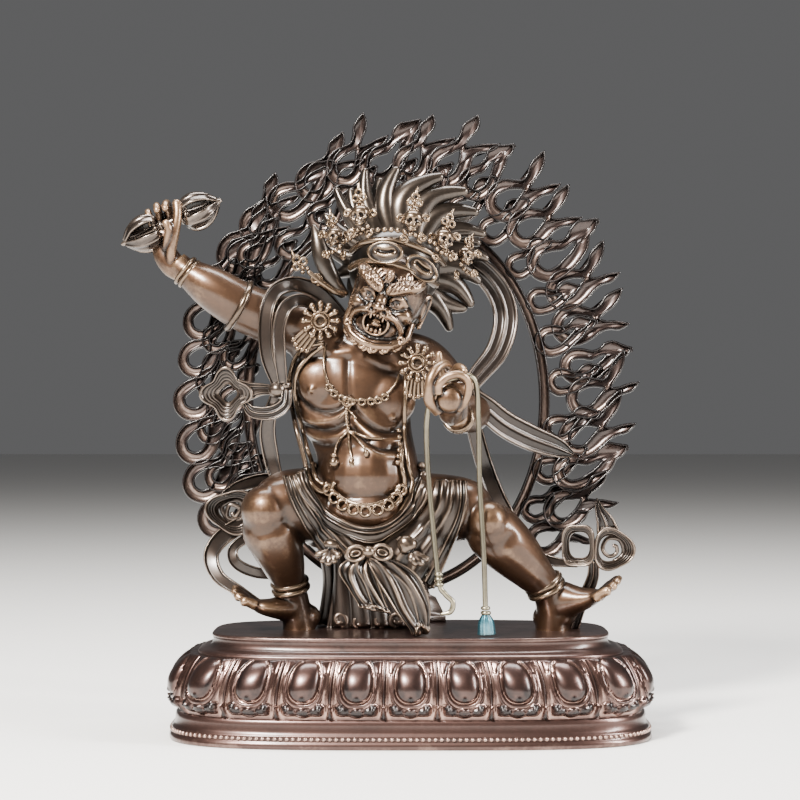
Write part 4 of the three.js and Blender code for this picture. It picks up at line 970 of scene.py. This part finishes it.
belt_foot = [(-20.2, -2.5, 44.6), (-18.6, -6, 41.1), (-15.4, -9, 37.5), (-11.5, -11, 35.2),
             (-7.1, -12.4, 33.4), (-4.4, -12, 34.3), (-0.6, -11, 36.7), (2.4, -8.6, 39.6), (3.6, -5, 42.6)]
belt_head = [(-18, -2.5, 46.2), (-16.9, -6, 42.6), (-13.8, -10, 38.9), (-10, -12, 36.9), (-6.6, -12.6, 36.3),
             (-3.4, -12, 37.4), (-1.2, -11, 39.6), (0.2, -8.6, 42.2), (1.4, -5, 44.8)]
skirt_parts = [
    panel([(-21.8, -2, 44.8), (-20.6, -6, 41), (-18.4, -8, 36.6), (-15.6, -9, 32.9), (-13.6, -9.4, 30.6)],
          [(-17.6, -5, 44.4), (-15.8, -8.8, 40), (-13.2, -10.4, 36.8), (-10.6, -11.4, 34.6),
           (-8.4, -11.6, 32.4)],
          lambda u, v: folds(u, (0.07, 0.03, 0.6), (0.28, 0.03, 0.6), (0.5 + 0.08 * v, 0.07, 0.5),
                             (0.72, 0.07, 0.35)),
          0.9, 0.4, 80, 64, skin_at),
    panel([(4.2, -4, 44.2), (2.8, -8, 39.8), (-0.4, -10.6, 36.6), (-4.2, -11.6, 34), (-5.6, -11.6, 32)],
          [(9.6, -2, 43.8), (9.6, -7, 38.6), (7.4, -8.8, 33), (5, -8.8, 27.4), (4, -8.8, 25.4)],
          lambda u, v: folds(u, (0.95, 0.03, 0.6), (0.8, 0.03, 0.6), (0.55, 0.07, 0.5), (0.3, 0.07, 0.45)),
          0.9, 0.6, 80, 70, skin_at),
    panel(belt_foot, belt_head,
          lambda u, v: folds(u, (0.08, 0.07, 0.55), (0.92, 0.07, 0.55),
                             (0.45 + 0.2 * np.sin(3 * v), 0.12, 0.55)),
          1.5, 0, 110, 36, skin_at),
    panel([(-8.4, -12.2, 31), (-12, -12.4, 29.2), (-10.4, -12.6, 26.2), (-8, -12.6, 22.6)],
          [(-7.2, -12.3, 31), (-6, -12.9, 28.6), (-4.6, -13.2, 25), (-3.2, -12.9, 21.6)],
          sash_folds, 1.3, 0.3, 70, 64),
    panel([(-7.4, -12.4, 31), (-6.2, -13.4, 28), (-4.2, -13.7, 24.6), (-2.2, -13.2, 21.6), (1.2, -12, 18.2)],
          [(-6.4, -12.2, 31), (-1, -12.6, 29.4), (1.6, -12.6, 27.4), (3.2, -12.2, 22.8), (2.4, -12, 18.2)],
          sash_folds, 1.3, 0.3, 80, 64),
    blob((-7, -14.2, 32.1), (1.15, 1.1, 1)),
    paw((-12.8, -10.6, 34.2), [(-16.2, -12, 31.4), (-15.2, -12.7, 30.1), (-13.9, -13.1, 29.5),
                               (-12.6, -13.3, 30), (-11.6, -13.3, 31.2)]),
    paw((-1.6, -12.6, 34.6), [(0, -13.9, 30.3), (1, -14.2, 29.6), (2.2, -14.2, 29.7), (3.2, -13.8, 30.6)]),
]
for low, thick in ((43.6, 0.85), (45.2, 0.7)):
    skirt_parts.append(sweep(girdle(trunk, (-7.6, 0), low, low + 2.2, -30, 210, 0.3), [thick] * 60, 120, 14,
                             (0, 0, 1), (1, 1)))
for x, z, tilt in ((-9.2, 31.8, -14), (-4.7, 32, 14)):
    skirt_parts += [hoop((x, -14.2, z), 1.5, (0.42, 0.5), (0, tilt, 0), 0.8),
                    hoop((x, -14, z), 0.8, (0.3, 0.55), (0, tilt, 0), 0.55)]
cloth_metal = copper("cloth_copper", (0.005, 0.003, 0.002), (0.034, 0.022, 0.015), (0.17, 0.12, 0.085), 0.36)
cast("skirt_and_sash", skirt_parts, cloth_metal)

# Behind the legs a curtain of cloth falls in round folds from the belt to the platform, and a narrower
# one hangs before it, with four curls at its hem.
drape_parts = [
    panel([(-14, 2.4, 35.4), (-13.4, 2.2, 27), (-14.6, 2, 17.85)],
          [(0.2, 2.4, 35), (-2.4, 2.2, 27), (-0.6, 2, 17.85)],
          lambda u, v: 0.8 * waves(u, v, 4, 0.05 * np.sin(5 * v)), 1.6, 0.6, 40, 80),
    panel([(4.6, 3.6, 43), (2.6, 5.2, 34), (0.4, 5.6, 26), (2, 5.4, 17.85)],
          [(-20, 3.6, 43), (-17.2, 5.2, 34), (-15.4, 5.6, 26), (-16.4, 5.4, 17.85)],
          lambda u, v: waves(u, v, 5, 0.03 * np.sin(6 * v)) + 0.5 * ridge(v - 0.95, 0.04), 1.8, -2.2, 44, 96),
    snail((-2.4, 0.9, 19.3), 1.35, 0.55, 1.3, -1), snail((-5.6, 0.7, 18.9), 1, 0.45, 1.2),
    snail((-12.4, 0.9, 19.3), 1.35, 0.55, 1.2), snail((-9, 0.7, 18.9), 1, 0.45, 1.2, -1),
]
# Painted shade: the curtain lies in the legs' shadow, so it gets a dimmer, duller copper of its own.
drape_shade_metal = copper("drape_copper_painted_shade", (0.008, 0.005, 0.004), (0.035, 0.023, 0.017), (0.15, 0.105, 0.08), 0.42)
cast("back_drape", drape_parts, drape_shade_metal)

# Long scarves blow out from the shoulders, the elbow and the hips. Each is a flat band with raised
# edges and fold lines; some ends are rolled into fluted mouths with rims inside rims.


def ribbon(points, widths, thick, lines, rows):
    """A band of cloth along a line: its section has a raised edge at each side and lines between."""
    across = np.linspace(1, -1, 25)
    height = 0.42 + 0.42 * ridge(np.abs(across) - 0.86, 0.12)
    for place in np.linspace(-0.5, 0.5, lines) if lines > 1 else np.zeros(lines):
        height = height + 0.38 * ridge(across - place, 0.13)
    front = height * np.sqrt(ramp(-np.abs(across), -1.04, 1 / 9))
    section = np.array([*zip(across, front), *[(x, -0.42) for x in np.linspace(-1, 1, 9)[1:-1]]])
    return sweep(points, [(width, thick) for width in widths], rows, section=section)


def mouth(middle, radius, lobes, dent, turn, squash, phase, narrow, deep):
    """The open end of a rolled scarf: a lobed funnel with a thick rim in front and a narrower one round
    the hole behind, and three fluted folds on the wall between them."""
    section = [(narrow, -deep), (narrow + 0.03, 0.35 - deep), (narrow + 0.12, 0.4 - deep)]
    for fold in (0.32, 0.5, 0.68):
        level = 0.3 - deep + (deep + 0.1) * fold
        section += [(narrow + (1 - narrow) * (fold + aside), level + rise)
                    for aside, rise in ((-0.07, -0.12), (0, 0.3), (0.07, 0.02))]
    section += [(0.87, 0.1), (0.9, 0.5), (0.955, 0.68), (1, 0.45), (1, 0), (0.9, -0.75),
                (narrow + 0.28, -deep - 0.2), (narrow + 0.08, -deep - 0.35)]
    share, depth = np.array(section).T
    wave = dent * np.cos(lobes * (evenly(80) - phase))[:, None]
    flat = (radius * share * (1 + wave * share))[..., None] * (circle(80) * (1, squash))[:, None]
    return moved(looped(np.insert(flat, 1, -depth, axis=2)[::-1]), turn, middle)


scarf_parts = [ribbon(*band) for band in (
    ([(-1, 4, 76), (2, 4.2, 80.4), (6.6, 3.6, 82.6), (11.6, 3.2, 81.2), (15.4, 3.4, 77.2), (16.8, 3, 72.2),
      (15.4, 1.4, 66.8), (12.2, -0.6, 62.6), (9.4, -2.2, 59.4)],
     [1.6, 2, 2.1, 2.1, 2.2, 2.2, 2.1, 1.8, 1.5], 1, 1, 120),
    ([(9.2, -2.4, 59.8), (12.6, -1.8, 56.8), (16.4, -0.4, 53.6), (21, 1.6, 51.2), (25.8, 3.4, 49.4),
      (28.6, 4.4, 48.2)],
     [1, 2, 2.3, 2.3, 1.8, 0.5], 1, 1, 90),
    ([(9.8, -2.6, 59.6), (11, 0, 53.6), (12.8, 1.8, 47), (14.8, 1.4, 41.4), (17.2, 0.6, 36.6),
      (18.8, 1.8, 31.6)],
     [1.2, 1.4, 1.5, 1.6, 1.4, 0.6], 0.9, 0, 90),
    ([(-12, 1, 72.4), (-15.6, -0.6, 76.2), (-19.6, -2.6, 77.8), (-22.8, -5, 76.8), (-24.4, -6.6, 74),
      (-24.9, -7, 69.4), (-24.5, -6.8, 64.8), (-23, -6.2, 60.4)],
     [1.2, 1.35, 1.4, 1.35, 1.3, 1.25, 1.15, 0.9], 1, 0, 120),
    ([(-15.4, -3.6, 73.2), (-18.4, -6, 74.8), (-21.2, -7.8, 73.6), (-22.5, -8.2, 69.6), (-22.3, -8, 64.8),
      (-21.9, -6.8, 60.6)],
     [0.9, 1.15, 1.2, 1.15, 1.05, 0.8], 1, 0, 100),
    ([(-21.2, -6.6, 59.4), (-21.6, -7.2, 56.8), (-24, -7.4, 55.4), (-27, -7.2, 55.6), (-28.4, -6.8, 57)],
     [0.8, 1.1, 1.2, 1, 0.5], 0.9, 1, 60),
    ([(-22.4, -5.8, 59.2), (-25.2, -6.2, 59.5), (-27.6, -6.4, 59.2), (-29.4, -6.6, 59)],
     [0.8, 1, 1.6, 2.4], 1, 2, 40),
    ([(-23.2, -5, 58.8), (-24.7, -4, 53), (-24.1, -3.2, 47.6), (-22.9, -3.6, 43.4)],
     [0.9, 1.4, 1.4, 1.1], 0.9, 0, 70),
    ([(-16, 3.6, 40.6), (-21, 3.8, 43.2), (-26, 3, 43.6), (-30.2, 1.6, 42.6), (-32.8, 0.8, 41.2)],
     [1.4, 1.4, 1.3, 1, 0.5], 0.9, 0, 90),
    ([(-17, 3.8, 36), (-23, 3.6, 37.2), (-28.6, 2.6, 36.2), (-32.8, 1.4, 33.8), (-34.8, 0, 30.6),
      (-33.4, -1.4, 27), (-29.4, -2.6, 24.4), (-26.4, -2.8, 22.6)],
     [1.2, 1.5, 1.6, 1.6, 1.4, 1.2, 1, 0.7], 0.9, 0, 120),
    ([(-22.4, 2.4, 33.6), (-27.4, 1.6, 33.8), (-30.8, 0.8, 32), (-30.6, 0.2, 29.4), (-27.2, 0.6, 27.6),
      (-22, 2, 27)],
     [0.7, 0.9, 0.9, 1, 1, 0.8], 0.8, 0, 70),
    ([(3, 2, 38.6), (9, 3.2, 37), (16, 3.2, 33.8), (23, 1.6, 30), (29.2, -1, 29)],
     [1.2, 1.4, 1.4, 1.1, 0.5], 0.9, 0, 90),
    ([(34.3, -1.6, 34.9), (33.8, -1.8, 36.6), (32.9, -1.7, 38.6), (32.4, -1.4, 40.6)],
     [2, 1.6, 0.85, 0.12], 0.9, 1, 50),
    ([(31.8, -2, 29.8), (31.6, -1, 26.4), (29.6, 0.4, 21.8), (28, 1, 17.8)],
     [0.9, 1.1, 1.2, 1.5], 0.9, 1, 60))]
scarf_parts += [
    mouth((-31.6, -6.8, 58.7), 4, 4, 0.2, (6, 8, -8), 1, 0.15, 0.36, 1.3),
    mouth((-31.2, 0.6, 38.2), 4.5, 3, 0.12, (0, 10, 6), 0.86, 3.14, 0.5, 2),
    mouth((29.2, -1.6, 32.4), 3.1, 4, 0.08, (0, 0, -12), 1.26, 0.8, 0.6, 1.5),
    mouth((35.1, -2.4, 31.8), 3.7, 3, 0.1, (0, 0, 10), 1, 2, 0.58, 1.7),
    snail((-31, 2.4, 38.2), 2.6, 0.5, 2.2, -1, (0, 10, 0)),
    snail((35, -0.6, 31.8), 2.6, 0.45, 1.5, 1, (0, 0, 10)),
    blob((-22.9, -6.2, 59.4), (1.6, 1.5, 1.5)), blob((-21.6, -6, 60.2), (1.1, 1.1, 1))]
scarf_metal = copper("scarf_copper", (0.006, 0.004, 0.003), (0.036, 0.025, 0.019), (0.17, 0.128, 0.1), 0.36)
cast("scarves", scarf_parts, scarf_metal)

# Strings of ornaments lie on the chest and belly: thin doubled cords, a necklace, a festoon of rings,
# bracelets and anklets, and a rosette with a tassel beneath each ear.
skin_close = front_of(body, 0.4, 1)


def laid(points, count, rise):
    """A smooth line laid rise mm in front of the skin, with its depths evened out. Its points are in X
    and Z, or in X, Y and Z where it also runs past the skin's edge, which keeps their Y there."""
    line = along(points, 4 * len(points))
    level = skin_close(line[:, 0], line[:, -1])
    depth = np.where(level < 20, level - rise, line[:, 1])
    line = along(np.stack([line[:, 0], depth, line[:, -1]], 1), count)
    for _ in range(max(4, count // 8)):
        line[1:-1, 1] = (line[:-2, 1] + 2 * line[1:-1, 1] + line[2:, 1]) / 4
    return line


def thread(line, radius):
    """A thin round cord along a line that is already smooth."""
    return sweep(line, [radius] * len(line), len(line), 8, (0.01, -1, 0.02), (1, 1))


cords = (
    (90, 0.35, 0.42, [(-14.7, -6, 67.6), (-17.8, -6, 66.8), (-19.9, -6.4, 65), (-21, -6, 61.6),
                      (-21, -6, 58.4), (-19.8, -7, 53.5), (-18.3, -8, 48.1), (-17.1, -9.4, 43.8),
                      (-15.2, -10.8, 42), (-13.6, -11.6, 42.6), (-12.8, -11.8, 43.8)]),
    (90, 0.35, 0.4, [(-14.7, -6, 67.2), (-17.2, -7, 65.4), (-19.2, -7, 63.2), (-20, -7, 60.4),
                     (-19.8, -7, 57.2), (-18.7, -7.6, 52.6), (-17.3, -8.4, 48), (-16.3, -9.6, 44.6),
                     (-15, -10.8, 43.3), (-14, -11.6, 43.5)]),
    (90, 0.35, 0.42, [(-0.8, 62.6), (-0.9, 58), (-1, 52), (-0.4, 46.6), (0.3, 43.3), (-1.2, 39.4), (-4, 35.8),
                      (-7, 33.4)]),
    (90, 0.35, 0.4, [(-1.6, 50), (-1.5, 46.4), (-1, 43.6), (-2, 40.6), (-3.8, 39.2)]),
    *[(30, 0.15, 0.24, line) for line in (
        [(-9.6, 57.6), (-10.8, 56), (-12.4, 54.4)], [(-12, 57.6), (-10.8, 56.2), (-9.2, 54.4)],
        [(-10.6, 52.4), (-12.4, 50.4), (-13, 47.6)], [(-10.6, 52.4), (-10.4, 49.8), (-9.8, 47.4)],
        [(-10.6, 52.4), (-8.8, 50.6), (-7.6, 49.2)], [(-10.6, 52.4), (-7.2, 51.2), (-4.6, 51)])])
jewel_parts = [thread(laid(line, count, rise), radius) for count, rise, radius, line in cords]
necklace = laid([(-14.6, 67.4), (-14.9, 64.2), (-14.5, 61.6), (-13.4, 59.4), (-10.6, 57.8), (-7.2, 57.7),
                 (-4.8, 58.2), (-2.7, 60.2), (-1.8, 62.4)], 80, 0.25)
cross = laid([(-10.8, 57.4), (-11, 55), (-10.6, 52.4)], 12, 0.2)
pendants = laid([(-13, 47), (-9.8, 46.7), (-7.5, 48.6)], 3, 0.3)
side_beads = laid([(-2, 52.4), (-1.9, 49.6), (-2.2, 47)], 6, 0.2)
festoon = laid([(-13.9, 42.4), (-12.5, 40.7), (-10.3, 39.4), (-7.6, 38.9), (-4.9, 39.4), (-2.8, 40.7),
                (-1.6, 42.4)], 9, 0.15)
above = festoon[:, [0, 2]] + (0, 0.95)
between = (festoon[:-1] + festoon[1:])[:, [0, 2]] / 2 + (0, 0.5)
jewel_parts += [
    thread(necklace, 0.26), thread(laid(above, 60, 0.2), 0.34),
    *[hoop(place - (0, 0.25, 0.3), 0.55, (0.24, 0.3), count=18, around=8) for place in necklace[26:62:5]],
    *[hoop(place - (0, 0.3, 0.1), 0.85, (0.3, 0.4), count=24) for place in festoon],
    beads(cross, 0.36), beads([pendants[0] + (0, 0, 1.2)], 0.5), beads(side_beads, 0.45),
    beads(laid(between, 16, 0.35), 0.36), hoop(cross[0] - (0, 0.4, 0), 0.75, (0.28, 0.34), count=22),
    blob(pendants[0], (0.85, 0.8, 0.85)), blob(pendants[1], (0.55, 0.5, 1.1), (0, -20, 0)),
    blob(pendants[2], (0.5, 0.5, 0.75)),
    blob(pendants[1] + (0.9, 0, 0.1), (0.35, 0.4, 0.8), (0, 20, 0))]


def cuff(middle, axis, radius, thick):
    """A ring hugging a limb: a round thread on a circle about the limb's axis."""
    side = unit(np.cross(axis, (0, -1, 0.1)))
    ring, wrap = circle(48)[:, None], circle(12) * thick
    out = ring[..., :1] * side + ring[..., 1:] * np.cross(axis, side)
    return looped(middle + (radius + wrap[:, :1]) * out + wrap[:, 1:] * axis)


for place, axis, radius, thick, gap in (((-29.8, -3.6, 74), (-10.5, -2.5, 5.4), 4.3, 0.62, 0),
                                        ((-38.6, -4.5, 79.8), (-5, 0, 3.9), 2.5, 0.42, 0.45),
                                        ((8.2, -7.4, 54.6), (-0.7, -2.7, 0.8), 2.35, 0.42, 0.45),
                                        ((-20.9, -2, 25.5), (1.2, 2.2, -7), 2.85, 0.6, 0.6),
                                        ((23.3, -2.3, 25.5), (3.4, 2, -6.4), 3, 0.6, 0.6)):
    axis = unit(np.array(axis))
    jewel_parts += [cuff(place + axis * shift, axis, radius, thick) for shift in sorted({-gap, gap})]
for centre, droop in (((-15.4, -8.2, 71.2), (-0.64, 0.12, -0.76)), ((1.2, -8, 64), (-0.1, 0.2, -0.97))):
    centre, droop = np.array(centre), np.array(droop)
    spokes = np.insert(circle(12), 1, 0, axis=1)
    aside = unit(np.cross(droop, (0, -1, 0)))
    jewel_parts += [
        hoop(centre, 0.95, (0.32, 0.45)), hoop(centre + (0, 0.35, 0), 1.5, (0.3, 0.4)),
        blob(centre + (0, 0.8, 0), (1.7, 0.6, 1.7)), beads(centre + (0, 0.1, 0) + 2.9 * spokes, 0.58),
        *[sweep([centre + 1.5 * spoke, centre + (0, 0.1, 0) + 2.8 * spoke], [0.3, 0.5], 8, 10, ends=(1, 1))
          for spoke in spokes]]
    for place in (-1.5, -0.75, 0, 0.75, 1.5):
        root, tip = (centre + (0, 0.2, 0) + droop * drop + aside * place * spread
                     for drop, spread in ((2.2, 0.7), (6.2 - 0.5 * abs(place), 1)))
        jewel_parts += [sweep([root, tip], [0.3, 0.38], 10, 8, ends=(1, 1)), beads([tip], 0.5)]
jewel_metal = copper("jewel_copper", (0.005, 0.003, 0.002), (0.04, 0.025, 0.016), (0.17, 0.113, 0.069), 0.34)
cast("jewellery", jewel_parts, jewel_metal)

# The lasso is a separate bright wire hung over the lowered hand, with a collared hook at one end and a
# small tassel at the other, just clear of the platform. The tassel's blue-green is a painted reflection.
wire = sweep([(5, -13.8, 21.6), (6.7, -13.8, 22), (7.1, -13.8, 23.6), (5.8, -13.8, 25), (4.8, -13.8, 27),
              (3.8, -14, 36), (2.8, -14.4, 48), (2.9, -15.2, 55.6), (4.8, -16.4, 59.8), (8.2, -16.8, 61.4),
              (10.8, -16.2, 60.6), (11.4, -15, 54), (11.6, -14.2, 44), (12.3, -13.8, 32),
              (12.6, -13.6, 22.4)],
             [0.2] + [0.45] * 14, 240, 16, (0, -1, 0.2), (1, 0))
knots = [hoop(place, radius, thick, (90, 0, 0)) for place, radius, thick in (
    ((4.85, -13.8, 26.6), 0.5, 0.3), ((4.75, -13.8, 27.5), 0.5, 0.3), ((12.6, -13.6, 22.6), 0.5, 0.32),
    ((12.65, -13.6, 21.8), 0.55, 0.34))]
wire_metal = copper("lasso_metal", (0.02, 0.017, 0.011), (0.1, 0.086, 0.056), (0.25, 0.22, 0.15), 0.36, 0.7)
cast("lasso_wire", [wire, *knots, blob((4.7, -13.8, 28.3), (0.75, 0.7, 0.5))], wire_metal,
     "lasso")
strands = circle(30) * (1 + 0.12 * np.cos(10 * evenly(30)))[:, None]
tassel = sweep([(12.65, -13.58, 21.7), (12.7, -13.5, 20.4), (12.8, -13.4, 18.12)],
               [(0.5, 0.5), (1.15, 0.85), (1.4, 0.9)], 30, section=strands)
# Painted reflection: the tassel is tinted blue-green all over to stand for a blue glint of light on it.
tassel_reflection_metal = copper("tassel_painted_blue_reflection", (0.01, 0.035, 0.045), (0.05, 0.17, 0.22), (0.2, 0.36, 0.4), 0.42)
cast("lasso_tassel", [tassel], tassel_reflection_metal, "lasso")
